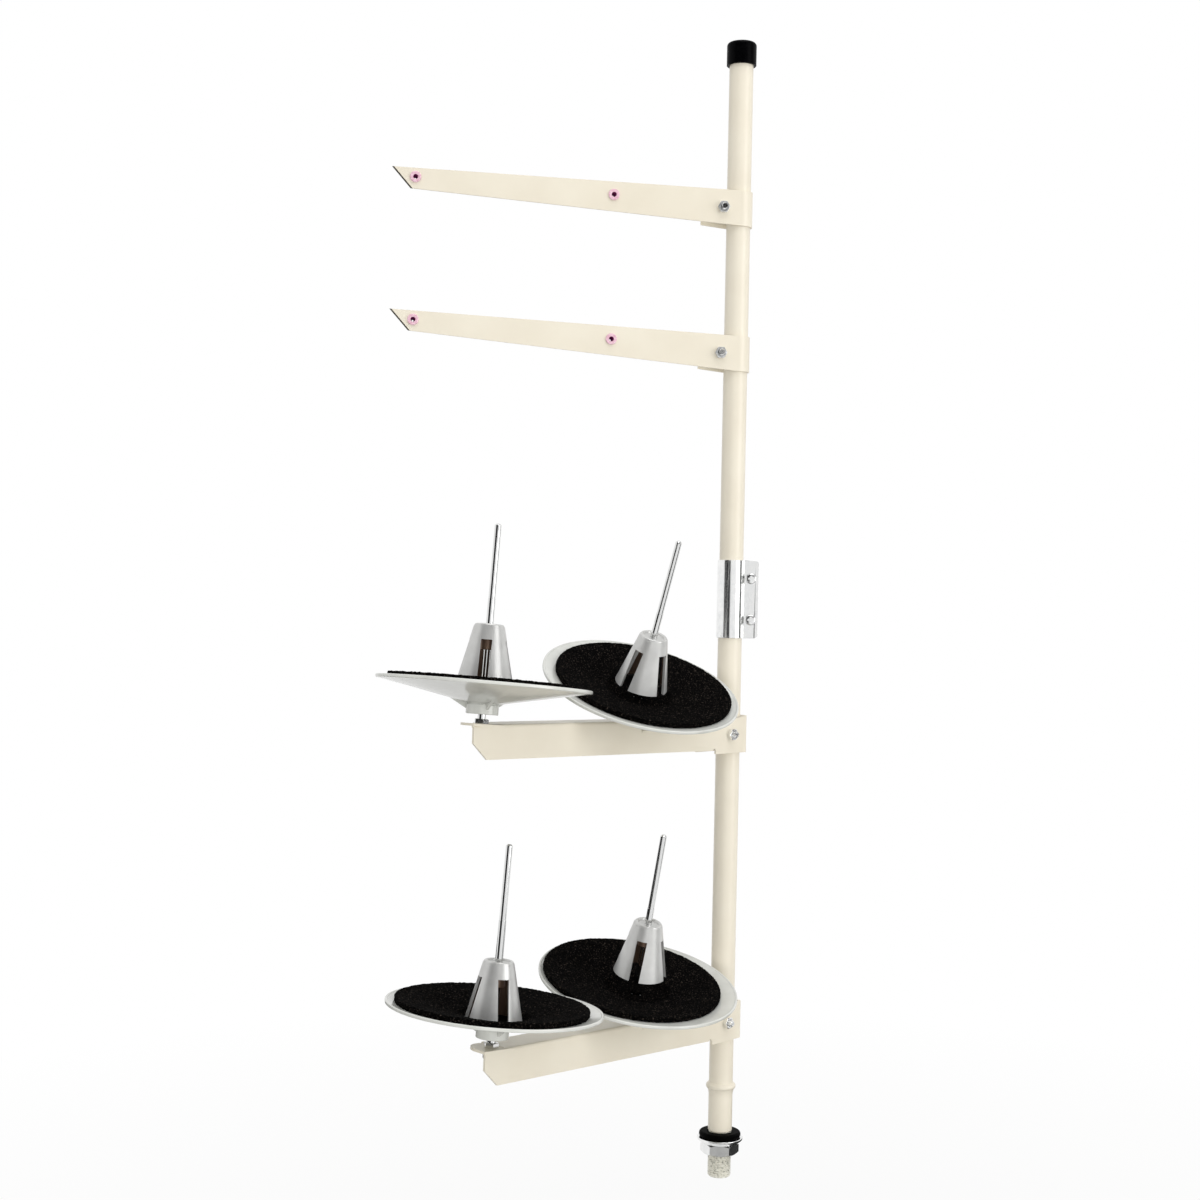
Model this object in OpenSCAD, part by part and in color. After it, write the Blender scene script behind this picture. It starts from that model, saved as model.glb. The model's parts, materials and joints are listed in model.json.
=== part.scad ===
// Thread stand for an overlock or other multi-thread sewing machine.
// A two-piece pole is clamped through a table top. Two guide arms carry thread eyelets,
// and two spool arms below them carry four spool stations: pin, dish, foam pad and cone.
// Origin: on the pole's axis, at the table top under the bead. +Z is up the pole, the guide
// arms point along -X, and the arms' front plates face -Y.

/* [Pole] */
// Outside diameter of both pole tubes
tube_d = 16; // [14:0.5:18]
// Wall thickness of the pole tubes
tube_wall = 1.5; // [1:0.1:2]
// Length of the lower tube above the table top
lower_tube_len = 329.5; // [315:0.5:370]
// Length of the upper tube
upper_tube_len = 369.4; // [350:0.1:420]
// Gap between the ends of the two tubes
tube_gap = 0.3; // [0.2:0.1:1]
// Diameter of the bead that rests on the table top
bead_d = 19.8; // [19:0.1:23]
// Height of the bead
bead_h = 6; // [5:0.5:8]
// Length of the shank below the table top
shank_len = 56.9; // [54:0.1:70]
// Outside diameter of the shank's thread
thread_d = 15.4; // [12:0.1:15.8]
// Length of the thread, up from the shank's end
thread_len = 30.5; // [30.5:0.5:42]
// Radial clearance of everything that turns or slides on the pole or on a pin
run_clear = 0.05; // [0.03:0.01:0.1]

/* [Table fixing] */
// Room for the table top, from the bead to the rubber washer
grip = 26.6; // [15:0.2:28]
// Diameter of the rubber washer
rubber_d = 27.8; // [24:0.2:32]
// Height of the rubber washer
rubber_h = 4; // [4:0.5:10]
// Radius of the rubber washer's rounded edges
rubber_round = 1.8; // [0.8:0.1:1.9]
// Diameter of the steel washer
washer_d = 30.4; // [26:0.2:36]
// Thickness of the steel washer's rim
washer_rim = 1.4; // [1:0.1:2.5]
// Height of the cone under the steel washer's rim
washer_cone_h = 2.2; // [1:0.1:3]
// Diameter of the cone's lower end
washer_low_d = 25; // [22:0.2:26]
// Radial clearance of the steel washer on the shank
washer_clear = 0.3; // [0.2:0.1:1]
// Width across the flats of the table nut
table_nut_af = 22.3; // [20:0.1:26]
// Height of the table nut
table_nut_h = 7.4; // [6:0.1:11]
// Turn of the table nut about the pole
table_nut_turn = 48; // [0:1:59]

/* [End cap] */
// Outside diameter of the end cap
cap_d = 19.8; // [19:0.1:23]
// Height of the end cap
cap_h = 15.5; // [12:0.5:25]
// Thickness of the end cap's roof
cap_roof = 2; // [1.5:0.1:4]
// Radius of the end cap's top edge
cap_round = 2.4; // [1:0.1:3]

/* [Tube clamp] */
// Height of the clamp that joins the tubes
clamp_h = 52; // [44:1:64]
// Sheet thickness of the clamp
clamp_sheet = 1.2; // [0.8:0.1:1.6]
// Reach of the clamp's ears from the pole's axis
ear_reach = 18.6; // [17.5:0.1:24]
// Gap between the two ears
ear_gap = 3; // [2:0.1:5]
// Corner radius of the ears
ear_round = 3.3; // [1:0.1:4]
// Distance of the clamp screws from the pole's axis
clamp_screw_x = 13.4; // [13:0.1:14.5]
// Spacing of the two clamp screws
clamp_screw_pitch = 27.5; // [16:0.5:34]
// Turn of the clamp about the pole
clamp_turn = -12; // [-180:1:180]

/* [Screws and nuts] */
// Diameter of the clamp screws
screw_d = 4; // [3:0.1:4.2]
// Diameter of the screws' heads
screw_head_d = 7.2; // [6:0.1:7.6]
// Height of the screws' heads
screw_head_h = 2.6; // [2:0.1:4]
// Radial clearance of a screw in its hole
screw_clear = 0.15; // [0.1:0.05:0.4]
// Width across the flats of the screws' nuts
screw_nut_af = 7; // [6.5:0.1:7.6]
// Height of the screws' nuts
screw_nut_h = 3.2; // [2:0.1:4]
// Length of thread that stands out past a nut
screw_stand_out = 2.4; // [0.5:0.1:5]

/* [Guide arms] */
// Height of the upper guide arm's top edge at the pole
upper_guide_z = 601; // [570:1:640]
// Height of the lower guide arm's top edge at the pole
lower_guide_z = 504.5; // [450:0.5:540]
// Turn of the upper guide arm about the pole
upper_guide_turn = 0; // [-180:1:180]
// Turn of the lower guide arm about the pole
lower_guide_turn = 0; // [-180:1:180]
// Rise of the upper guide arm towards its tip, in degrees
upper_guide_rise = 1.1; // [-3:0.1:5]
// Rise of the lower guide arm towards its tip, in degrees
lower_guide_rise = 2.2; // [-3:0.1:5]
// Sheet thickness of the guide arms
guide_sheet = 1.2; // [0.8:0.1:2]
// Reach of the guide arms from the pole's axis
guide_reach = 230.8; // [225:0.1:280]
// Height of the guide arms' strap at the pole
guide_strap_h = 23.4; // [18:0.2:30]
// Height of the guide arms at their tip
guide_tip_h = 13.6; // [11:0.2:16]
// Setback of the tip's lower corner, from its slanting cut
guide_tip_cut = 12.1; // [0:0.1:14]
// Length of the strap's return behind the pole
guide_return = 24; // [18:0.5:32]
// Height of the strap's return at its free end
guide_return_h = 18; // [10:0.5:18]
// Distance of the guide arms' screws from the pole's axis
guide_screw_x = 12.2; // [12:0.1:16]

/* [Eyelets] */
// Distance of the outer eyelets from the pole's axis
eyelet_outer_x = 215.6; // [190:0.2:218]
// Distance of the inner eyelets from the pole's axis
eyelet_inner_x = 85.6; // [60:0.2:120]
// Height of the eyelets above the middle of the arm's plate
eyelet_rise = 1.2; // [0:0.1:2]
// Diameter of an eyelet's lips
eyelet_lip_d = 7.4; // [6.5:0.1:9]
// Thickness of an eyelet's lips
eyelet_lip_t = 1.2; // [0.8:0.1:2]
// Diameter of an eyelet's neck, in the sheet's hole
eyelet_neck_d = 5.2; // [4.5:0.1:6]
// Length of an eyelet's tail, behind its rear lip
eyelet_tail = 4.5; // [0.5:0.1:5]
// Diameter of an eyelet's thread hole
eyelet_bore_d = 3; // [2:0.1:3.6]
// Radial clearance of an eyelet's neck in the sheet
eyelet_clear = 0.05; // [0.02:0.01:0.2]

/* [Spool arms] */
// Height of the upper spool arm's flange at the pole
upper_spool_z = 250; // [220:1:275]
// Height of the lower spool arm's flange at the pole
lower_spool_z = 58.6; // [35:0.2:75]
// Turn of the upper spool arm about the pole
upper_spool_turn = 36.3; // [-180:0.1:180]
// Turn of the lower spool arm about the pole
lower_spool_turn = 39.9; // [-180:0.1:180]
// Rise of the upper spool arm towards its tip, in degrees
upper_spool_rise = 1.1; // [-3:0.1:4]
// Rise of the lower spool arm towards its tip, in degrees
lower_spool_rise = 2.1; // [-3:0.1:4]
// Sheet thickness of the spool arms
spool_sheet = 1.5; // [1:0.1:2]
// Outside radius of the spool arms' fold
fold_r = 2.2; // [2.1:0.1:3]
// Reach of the front plate from the pole's axis
plate_reach = 230.5; // [226:0.1:250]
// Height of the front plate
plate_h = 20.6; // [17:0.2:28]
// Length of the slanting corner along the plate's foot
plate_corner_l = 10.8; // [2:0.2:16]
// Height of the slanting corner
plate_corner_h = 9.8; // [2:0.1:12]
// Depth of the top flange behind the pole's axis
flange_back = 12; // [10:0.5:16]
// Length of the boxed clamp end towards the tip
box_len = 22; // [18:0.5:26]
// Outside corner radius of the boxed clamp end
box_round = 3; // [2.2:0.1:4]
// Height of the boxed clamp end above the flange
box_above = 2; // [0.5:0.1:5]
// Height of the boxed clamp end below the flange
box_below = 22.5; // [20:0.5:30]
// Gap between the boxed end and the top flange
box_gap = 2; // [1:0.1:6]
// Radius of the notch between the plate's foot and the boxed end
notch_r = 1.2; // [0.5:0.1:2]
// Distance of the set screws from the pole's axis
set_screw_x = 7.5; // [4:0.1:7.8]
// Depth of the set screws below the flange
set_screw_drop = 10; // [6:0.1:14]

/* [Spool stations] */
// Distance of the outer stations from the pole's axis
outer_x = 219; // [212:0.2:235]
// Distance of the inner stations from the pole's axis
inner_x = 85.2; // [84:0.2:88]
// Offset of the outer stations towards the front plate
outer_front = 2.2; // [0:0.1:2.5]
// Offset of the inner stations towards the front plate
inner_front = -6; // [-7:0.1:-2]
// Height of the inner seats above the flange
inner_seat_rise = 1; // [0:0.1:3]
// Radius of the round tab under each station
tab_r = 12; // [8:0.5:13]
// Width of the tongue that joins an inner tab to the front plate
tongue_w = 14; // [12:0.5:20]
// Slit on each side of an inner tab
tab_slit = 0.6; // [0.5:0.1:2]
// Lean of the upper outer station towards the pole, in degrees
upper_outer_lean_in = 4.5; // [-4:0.1:5]
// Lean of the upper outer station towards the front, in degrees
upper_outer_lean_front = -0.7; // [-3:0.1:3]
// Lean of the upper inner station towards the pole, in degrees
upper_inner_lean_in = -6.8; // [-7.5:0.1:2]
// Lean of the upper inner station towards the front, in degrees
upper_inner_lean_front = 23.4; // [16:0.1:26]
// Lean of the lower outer station towards the pole, in degrees
lower_outer_lean_in = 2.1; // [-4:0.1:4]
// Lean of the lower outer station towards the front, in degrees
lower_outer_lean_front = 1.6; // [-3:0.1:3]
// Lean of the lower inner station towards the pole, in degrees
lower_inner_lean_in = -5.6; // [-6.5:0.1:2]
// Lean of the lower inner station towards the front, in degrees
lower_inner_lean_front = 14; // [12:0.1:26]

/* [Spool pins] */
// Diameter of a pin's polished shaft
pin_d = 4.5; // [4.2:0.05:4.7]
// Length of an outer pin above its seat
outer_pin_len = 118.5; // [100:0.5:160]
// Length of an inner pin above its seat
inner_pin_len = 123.2; // [100:0.2:160]
// Diameter of a pin's free end, ground down a little so that spools go on easily
pin_end_d = 4.1; // [3.5:0.05:4.2]
// Height above the seat from which a pin has its free end's diameter
pin_end_from = 74; // [70:0.5:80]
// Chamfer at a pin's tip
pin_tip = 1; // [0.3:0.1:1.6]
// Diameter of a pin's threaded foot
pin_thread_d = 5; // [4.8:0.1:6]
// Height of a pin's shoulder above its seat
pin_shoulder = 5.6; // [4.5:0.1:8]
// Length of thread that stands out below a pin's lock nut
pin_stand_out = 1.5; // [0.5:0.1:3]
// Width across the flats of the pins' nuts
pin_nut_af = 8; // [7.5:0.1:9]
// Height of the nut on the seat
seat_nut_h = 3; // [2:0.1:4]
// Height of the lock nut below the seat
lock_nut_h = 4; // [3:0.1:5]
// Diameter of the spring washer
spring_d = 8.6; // [8:0.1:9.5]
// Thickness of the spring washer
spring_t = 1.2; // [0.8:0.1:1.6]
// Slit in the spring washer
spring_slit = 0.8; // [0.4:0.1:1.5]

/* [Dishes] */
// Diameter of a dish
dish_d = 128; // [110:0.5:129]
// Height of a dish from hub to rim
dish_h = 18.8; // [15:0.1:24]
// Wall thickness of a dish
dish_wall = 1.6; // [1.2:0.1:2.5]
// Height of the rim's edge
rim_h = 2; // [1.4:0.1:3]
// Width of the rim's flat top
rim_w = 1.5; // [1:0.1:4]
// Diameter of the hub's foot
hub_d = 19.4; // [14:0.2:24]
// Height of the hub's foot
hub_h = 5.6; // [2:0.1:6]
// Diameter of the hub's neck
neck_d = 18; // [12:0.2:19]
// Height of the hub's neck
neck_h = 0.6; // [0.3:0.1:3]
// Number of gussets under a dish
gussets = 3; // [0:1:8]
// Turn of the gussets about the pin, in degrees
gusset_turn = 6; // [0:1:120]
// Reach of the gussets from the pin's axis
gusset_reach = 22; // [16:0.5:40]
// Thickness of the gussets
gusset_t = 1.6; // [1:0.1:3]

/* [Foam pads] */
// Diameter of a foam pad
foam_d = 114.5; // [90:0.5:118]
// Thickness of a foam pad
foam_t = 3.5; // [2.5:0.1:6]
// Radius of a foam pad's outer edge
foam_round = 1.2; // [0.4:0.1:1.8]
// Diameter of the hole for the pin
foam_hole_d = 8; // [6:0.5:14]
// Thickness of foam left under the cone's foot
foam_pressed = 0.7; // [0.6:0.1:2]
// Room round the cone's foot on the pressed middle
foam_room = 1.5; // [1:0.1:4]
// Width of the sloping edge round the pressed middle
foam_slope = 3; // [1:0.5:8]
// Clearance of soft or loose pieces from what they lie on
rest_clear = 0.3; // [0.2:0.05:0.6]

/* [Cones] */
// Height of a cone
cone_h = 34.6; // [30:0.1:44]
// Diameter of a cone's foot
cone_foot_d = 33.8; // [28:0.2:40]
// Diameter of a cone's top
cone_top_d = 17.8; // [14:0.2:22]
// Wall thickness of a cone
cone_wall = 1.8; // [1.2:0.1:2.5]
// Radius of a cone's top edge
cone_round = 1.3; // [0.5:0.1:2]
// Depth of the recess in a cone's top
cone_recess = 1; // [0.5:0.1:2]
// Thickness of a cone's roof
cone_roof = 3; // [2:0.1:6]
// Diameter of the collar on the pin
collar_d = 9.4; // [8:0.2:11]
// Length of the collar, down from the cone's top
collar_len = 15.2; // [10:0.2:24]
// Number of slots in a cone
slots = 4; // [2:1:6]
// Width of a slot
slot_w = 6.6; // [2:0.1:7]
// Distance of the slots' upper end from the cone's top
slot_top = 9.6; // [6:0.2:20]
// Height of the upper outer cone above its lowest place
upper_outer_cone_lift = 8; // [0:0.1:40]
// Height of the upper inner cone above its lowest place
upper_inner_cone_lift = 7.7; // [0:0.1:40]
// Height of the lower outer cone above its lowest place
lower_outer_cone_lift = 0; // [0:0.1:40]
// Height of the lower inner cone above its lowest place
lower_inner_cone_lift = 13.5; // [0:0.1:40]
// Turn of the upper outer cone on its pin
upper_outer_cone_turn = 44; // [0:1:90]
// Turn of the upper inner cone on its pin
upper_inner_cone_turn = 4; // [0:1:90]
// Turn of the lower outer cone on its pin
lower_outer_cone_turn = 65; // [0:1:90]
// Turn of the lower inner cone on its pin
lower_inner_cone_turn = 28; // [0:1:90]

/* [Hidden] */
$fn = 96;
// Depth by which a cutting shape passes the face that it cuts
past = 1;

tube_r = tube_d / 2;
grip_r = tube_r + run_clear;
upper_tube_z = lower_tube_len + tube_gap;
upper_tube_top = upper_tube_z + upper_tube_len;
clamp_z = lower_tube_len + tube_gap / 2;
clamp_r = grip_r + clamp_sheet;
rubber_z = -grip - rubber_h;
washer_t = washer_rim + washer_cone_h;
washer_z = rubber_z - washer_t;
table_nut_z = washer_z - table_nut_h;
bead_rise = bead_d / 2 - tube_r;
bead_round = (bead_h * bead_h / 4 + bead_rise * bead_rise) / (2 * bead_rise);

guide_face = grip_r + guide_sheet;
box_face = grip_r + spool_sheet;
set_screw_near = set_screw_x - screw_d / 2;
set_screw_tip = sqrt(pow(tube_r + rest_clear, 2) - set_screw_near * set_screw_near);
pin_hole_r = pin_thread_d / 2 + run_clear;
pin_bore_r = pin_d / 2 + run_clear;

// Heights within a dish, from the hub's foot
dish_low = hub_h + neck_h;
dish_slope = (dish_h - rim_h - dish_low) / (dish_d / 2 - rim_w - neck_d / 2);
dish_floor = dish_low + dish_wall;
function dish_inside(r) = dish_floor + (r - neck_d / 2) * dish_slope;
foam_press_r = cone_foot_d / 2 + foam_room;
foam_press_z = dish_inside(cone_foot_d / 2) + rest_clear + foam_pressed;
cone_low = pin_shoulder + foam_press_z + rest_clear;

// Each spool arm: turn, height, rise
UPPER = [upper_spool_turn, upper_spool_z, upper_spool_rise];
LOWER = [lower_spool_turn, lower_spool_z, lower_spool_rise];
// Each station: name, arm, place on the arm, leans, pin length, cone lift and cone turn
STATIONS = [
    ["upper_outer", UPPER, [-outer_x, -outer_front, 0], [upper_outer_lean_front, upper_outer_lean_in, 0],
        outer_pin_len, upper_outer_cone_lift, upper_outer_cone_turn],
    ["upper_inner", UPPER, [-inner_x, -inner_front, inner_seat_rise],
        [upper_inner_lean_front, upper_inner_lean_in, 0],
        inner_pin_len, upper_inner_cone_lift, upper_inner_cone_turn],
    ["lower_outer", LOWER, [-outer_x, -outer_front, 0], [lower_outer_lean_front, lower_outer_lean_in, 0],
        outer_pin_len, lower_outer_cone_lift, lower_outer_cone_turn],
    ["lower_inner", LOWER, [-inner_x, -inner_front, inner_seat_rise],
        [lower_inner_lean_front, lower_inner_lean_in, 0],
        inner_pin_len, lower_inner_cone_lift, lower_inner_cone_turn]
];
STATION_PIECES = ["pin", "seat_nut", "spring_washer", "lock_nut", "dish", "foam_pad", "cone"];
// Each guide arm: name, turn, height, rise
GUIDES = [
    ["upper_guide", upper_guide_turn, upper_guide_z, upper_guide_rise],
    ["lower_guide", lower_guide_turn, lower_guide_z, lower_guide_rise]
];
GUIDE_PIECES = ["arm", "outer_eyelet", "inner_eyelet", "screw", "nut"];
// Each spool arm by name, with its outer and inner station
SPOOL_ARMS = [
    ["upper_spool", UPPER, STATIONS[0], STATIONS[1]],
    ["lower_spool", LOWER, STATIONS[2], STATIONS[3]]
];
SPOOL_PIECES = ["arm", "set_screw", "set_screw_nut"];
POLE_PIECES = [
    "lower_tube", "upper_tube", "end_cap", "tube_clamp", "tube_clamp_screws", "tube_clamp_nuts",
    "rubber_washer", "steel_washer", "table_nut"
];

NODES = concat(
    POLE_PIECES,
    [for (g = GUIDES) for (p = GUIDE_PIECES) str(g[0], "_", p)],
    [for (a = SPOOL_ARMS) for (p = SPOOL_PIECES) str(a[0], "_", p)],
    [for (s = STATIONS) for (p = STATION_PIECES) str(s[0], "_", p)]
);
node = "all";
function drawn(name) = node == "all" || node == name;

// Hex nut standing on z = 0
module hex_nut(af, h, bore_r) {
    difference() {
        cylinder(d = af / cos(30), h = h, $fn = 6);
        translate([0, 0, -past])
            cylinder(r = bore_r, h = h + 2 * past);
    }
}

// Screw whose head's underside is at z = 0, with its shank down -Z
module screw(len) {
    cylinder(d = screw_head_d, h = screw_head_h);
    translate([0, 0, -len])
        cylinder(d = screw_d, h = len + past);
}

// Moves a piece from a spool arm's own frame to its place on the pole
module on_arm(arm) {
    rotate([0, 0, arm[0]])
        translate([0, 0, arm[1]])
            rotate([0, arm[2], 0])
                children();
}

// Moves a piece from a station's seat to its place in the arm's frame
module on_seat(station) {
    translate(station[2])
        rotate(station[3])
            children();
}

// Moves a piece from a station's seat to its place on the pole
module at_station(station) {
    on_arm(station[1])
        on_seat(station)
            children();
}

module lower_tube() {
    color("#e9e3d1")
        difference() {
            union() {
                translate([0, 0, thread_len - shank_len])
                    cylinder(r = tube_r, h = shank_len - thread_len + lower_tube_len);
                translate([0, 0, -shank_len])
                    cylinder(d = thread_d, h = thread_len + past);
                rotate_extrude()
                    translate([bead_d / 2 - bead_round, bead_h / 2])
                        circle(bead_round);
            }
            translate([0, 0, -shank_len - past])
                cylinder(r = tube_r - tube_wall, h = shank_len + lower_tube_len + 2 * past);
        }
}

module upper_tube() {
    color("#e9e3d1")
        translate([0, 0, upper_tube_z])
            difference() {
                cylinder(r = tube_r, h = upper_tube_len);
                translate([0, 0, -past])
                    cylinder(r = tube_r - tube_wall, h = upper_tube_len + 2 * past);
            }
}

module end_cap() {
    color("#1b1b1d")
        translate([0, 0, upper_tube_top + cap_roof - cap_h])
            difference() {
                rotate_extrude()
                    union() {
                        square([cap_d / 2 - cap_round, cap_h]);
                        square([cap_d / 2, cap_h - cap_round]);
                        translate([cap_d / 2 - cap_round, cap_h - cap_round])
                            circle(cap_round);
                    }
                translate([0, 0, -past])
                    cylinder(r = grip_r, h = cap_h - cap_roof + past);
            }
}

// One ear of the tube clamp, in the XZ plane, from the pole's axis outwards
module clamp_ear() {
    x0 = grip_r;
    half = clamp_h / 2;
    translate([x0, -half])
        square([ear_reach - ear_round - x0, clamp_h]);
    translate([x0, -half + ear_round])
        square([ear_reach - x0, clamp_h - 2 * ear_round]);
    for (side = [-1, 1])
        translate([ear_reach - ear_round, side * (half - ear_round)])
            circle(ear_round);
}

// Places two copies at the tube clamp's screws, with +Z pointing out of the front ear
module at_clamp_screws() {
    translate([0, 0, clamp_z])
        rotate([0, 0, clamp_turn])
            for (side = [-1, 1])
                translate([clamp_screw_x, 0, side * clamp_screw_pitch / 2])
                    rotate([90, 0, 0])
                        children();
}

module tube_clamp() {
    color("#c3c6c8")
        difference() {
            translate([0, 0, clamp_z])
                rotate([0, 0, clamp_turn])
                    difference() {
                        union() {
                            translate([0, 0, -clamp_h / 2])
                                cylinder(r = clamp_r, h = clamp_h);
                            for (side = [-1, 1])
                                translate([0, side * (ear_gap + clamp_sheet) / 2 + clamp_sheet / 2, 0])
                                    rotate([90, 0, 0])
                                        linear_extrude(clamp_sheet)
                                            clamp_ear();
                        }
                        translate([0, 0, -clamp_h / 2 - past])
                            cylinder(r = grip_r, h = clamp_h + 2 * past);
                        translate([0, -ear_gap / 2, -clamp_h / 2 - past])
                            cube([ear_reach + past, ear_gap, clamp_h + 2 * past]);
                    }
            at_clamp_screws()
                translate([0, 0, -ear_reach / 2])
                    cylinder(r = screw_d / 2 + screw_clear, h = ear_reach);
        }
}

module tube_clamp_screws() {
    grip_len = ear_gap + 2 * clamp_sheet;
    color("#b4b6b8")
        at_clamp_screws()
            translate([0, 0, grip_len / 2])
                screw(grip_len + screw_nut_h + screw_stand_out);
}

module tube_clamp_nuts() {
    color("#b4b6b8")
        at_clamp_screws()
            translate([0, 0, -ear_gap / 2 - clamp_sheet - screw_nut_h])
                hex_nut(screw_nut_af, screw_nut_h, screw_d / 2 + run_clear);
}

module rubber_washer() {
    color("#161617")
        translate([0, 0, rubber_z])
            difference() {
                rotate_extrude()
                    union() {
                        square([rubber_d / 2 - rubber_round, rubber_h]);
                        translate([0, rubber_round])
                            square([rubber_d / 2, rubber_h - 2 * rubber_round]);
                        for (z = [rubber_round, rubber_h - rubber_round])
                            translate([rubber_d / 2 - rubber_round, z])
                                circle(rubber_round);
                    }
                translate([0, 0, -past])
                    cylinder(r = grip_r, h = rubber_h + 2 * past);
            }
}

module steel_washer() {
    color("#c9cbcc")
        translate([0, 0, washer_z])
            difference() {
                union() {
                    cylinder(d1 = washer_low_d, d2 = washer_d, h = washer_cone_h);
                    translate([0, 0, washer_cone_h])
                        cylinder(d = washer_d, h = washer_rim);
                }
                translate([0, 0, -past])
                    cylinder(r = tube_r + washer_clear, h = washer_t + 2 * past);
            }
}

module table_nut() {
    color("#c3c6c8")
        translate([0, 0, table_nut_z])
            rotate([0, 0, table_nut_turn])
                hex_nut(table_nut_af, table_nut_h, thread_d / 2 + run_clear);
}

// Height of a guide arm's top edge above the strap, at a distance from the pole's axis
function guide_top(x, rise) = x * tan(rise);
// Height of the middle of a guide arm's plate at a distance from the pole's axis
function guide_mid(x, rise) =
    guide_top(x, rise) - (guide_strap_h + (guide_tip_h - guide_strap_h) * x / guide_reach) / 2;
// Height of an eyelet at a distance from the pole's axis
function eyelet_z(x, rise) = guide_mid(x, rise) + eyelet_rise;

// Moves a piece from a guide arm's own frame to its place on the pole
module on_guide(guide) {
    rotate([0, 0, guide[1]])
        translate([0, 0, guide[2]])
            children();
}

// Turns +Z to point out of a guide arm's front plate, at a place on it
module at_guide_front(x, z) {
    translate([-x, -guide_face, z])
        rotate([90, 0, 0])
            children();
}

module guide_arm(guide) {
    rise = guide[3];
    tip_z = guide_top(guide_reach, rise);
    cut_x = guide_reach - guide_tip_cut;
    return_drop = (guide_strap_h - guide_return_h) / 2;
    color("#e9e3d1")
        on_guide(guide)
            difference() {
                union() {
                    translate([0, -grip_r, 0])
                        rotate([90, 0, 0])
                            linear_extrude(guide_sheet)
                                polygon([
                                    [0, 0], [-guide_reach, tip_z],
                                    [-cut_x, tip_z - guide_tip_h], [0, -guide_strap_h]
                                ]);
                    translate([0, guide_face, 0])
                        rotate([90, 0, 0])
                            linear_extrude(guide_sheet)
                                polygon([
                                    [0, 0], [-guide_return, -return_drop],
                                    [-guide_return, return_drop - guide_strap_h], [0, -guide_strap_h]
                                ]);
                    translate([0, 0, -guide_strap_h])
                        intersection() {
                            cylinder(r = guide_face, h = guide_strap_h);
                            translate([0, -guide_face, 0])
                                cube([guide_face, 2 * guide_face, guide_strap_h]);
                        }
                }
                translate([0, 0, -guide_strap_h - past])
                    cylinder(r = grip_r, h = guide_strap_h + 2 * past);
                at_guide_front(guide_screw_x, -guide_strap_h / 2)
                    translate([0, 0, -2 * guide_face - past])
                        cylinder(r = screw_d / 2 + screw_clear, h = 2 * guide_face + 2 * past);
                for (x = [eyelet_outer_x, eyelet_inner_x])
                    at_guide_front(x, eyelet_z(x, rise))
                        translate([0, 0, -guide_sheet - past])
                            cylinder(d = eyelet_neck_d + 2 * eyelet_clear, h = guide_sheet + 2 * past);
            }
}

// Round-lipped ceramic eyelet in the guide arm's sheet
module guide_eyelet(guide, x) {
    lip_r = eyelet_lip_t / 2;
    depth = guide_sheet + eyelet_lip_t + eyelet_tail;
    color("#d99a8e")
        on_guide(guide)
            at_guide_front(x, eyelet_z(x, guide[3]))
                difference() {
                    union() {
                        translate([0, 0, -depth])
                            cylinder(d = eyelet_neck_d, h = depth + eyelet_lip_t / 2);
                        for (z = [0, -guide_sheet - eyelet_lip_t])
                            translate([0, 0, z])
                                rotate_extrude()
                                    union() {
                                        square([eyelet_lip_d / 2 - lip_r, eyelet_lip_t]);
                                        translate([eyelet_lip_d / 2 - lip_r, lip_r])
                                            circle(lip_r);
                                    }
                    }
                    translate([0, 0, -depth - past])
                        cylinder(d = eyelet_bore_d, h = depth + eyelet_lip_t + 2 * past);
                }
}

// Screw through a guide arm's clamp end: its head is behind the arm and its tip in front
module guide_screw(guide) {
    color("#b4b6b8")
        on_guide(guide)
            at_guide_front(guide_screw_x, -guide_strap_h / 2)
                translate([0, 0, -2 * guide_face])
                    mirror([0, 0, 1])
                        screw(2 * guide_face + screw_nut_h + screw_stand_out);
}

module guide_nut(guide) {
    color("#b4b6b8")
        on_guide(guide)
            at_guide_front(guide_screw_x, -guide_strap_h / 2)
                hex_nut(screw_nut_af, screw_nut_h, screw_d / 2 + run_clear);
}

// Plan of the boxed clamp end: outer or inner outline, open towards the tip
module box_outline(half, corner, open_x) {
    translate([-open_x, -half])
        square([open_x + half - corner, 2 * half]);
    translate([-open_x, corner - half])
        square([open_x + half, 2 * (half - corner)]);
    for (side = [-1, 1])
        translate([half - corner, side * (half - corner)])
            circle(corner);
}

// Boxed end of a spool arm, round the pole
module boxed_end() {
    translate([0, 0, -box_below])
        linear_extrude(box_below + box_above)
            difference() {
                box_outline(box_face, box_round, box_len);
                box_outline(grip_r, box_round - spool_sheet, box_len + past);
            }
}

// Turns +Z to point out of a spool arm's front plate, at its set screw
module at_set_screw(arm) {
    rotate([0, 0, arm[0]])
        translate([-set_screw_x, -box_face, arm[1] - set_screw_drop])
            rotate([90, 0, 0])
                children();
}

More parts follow.
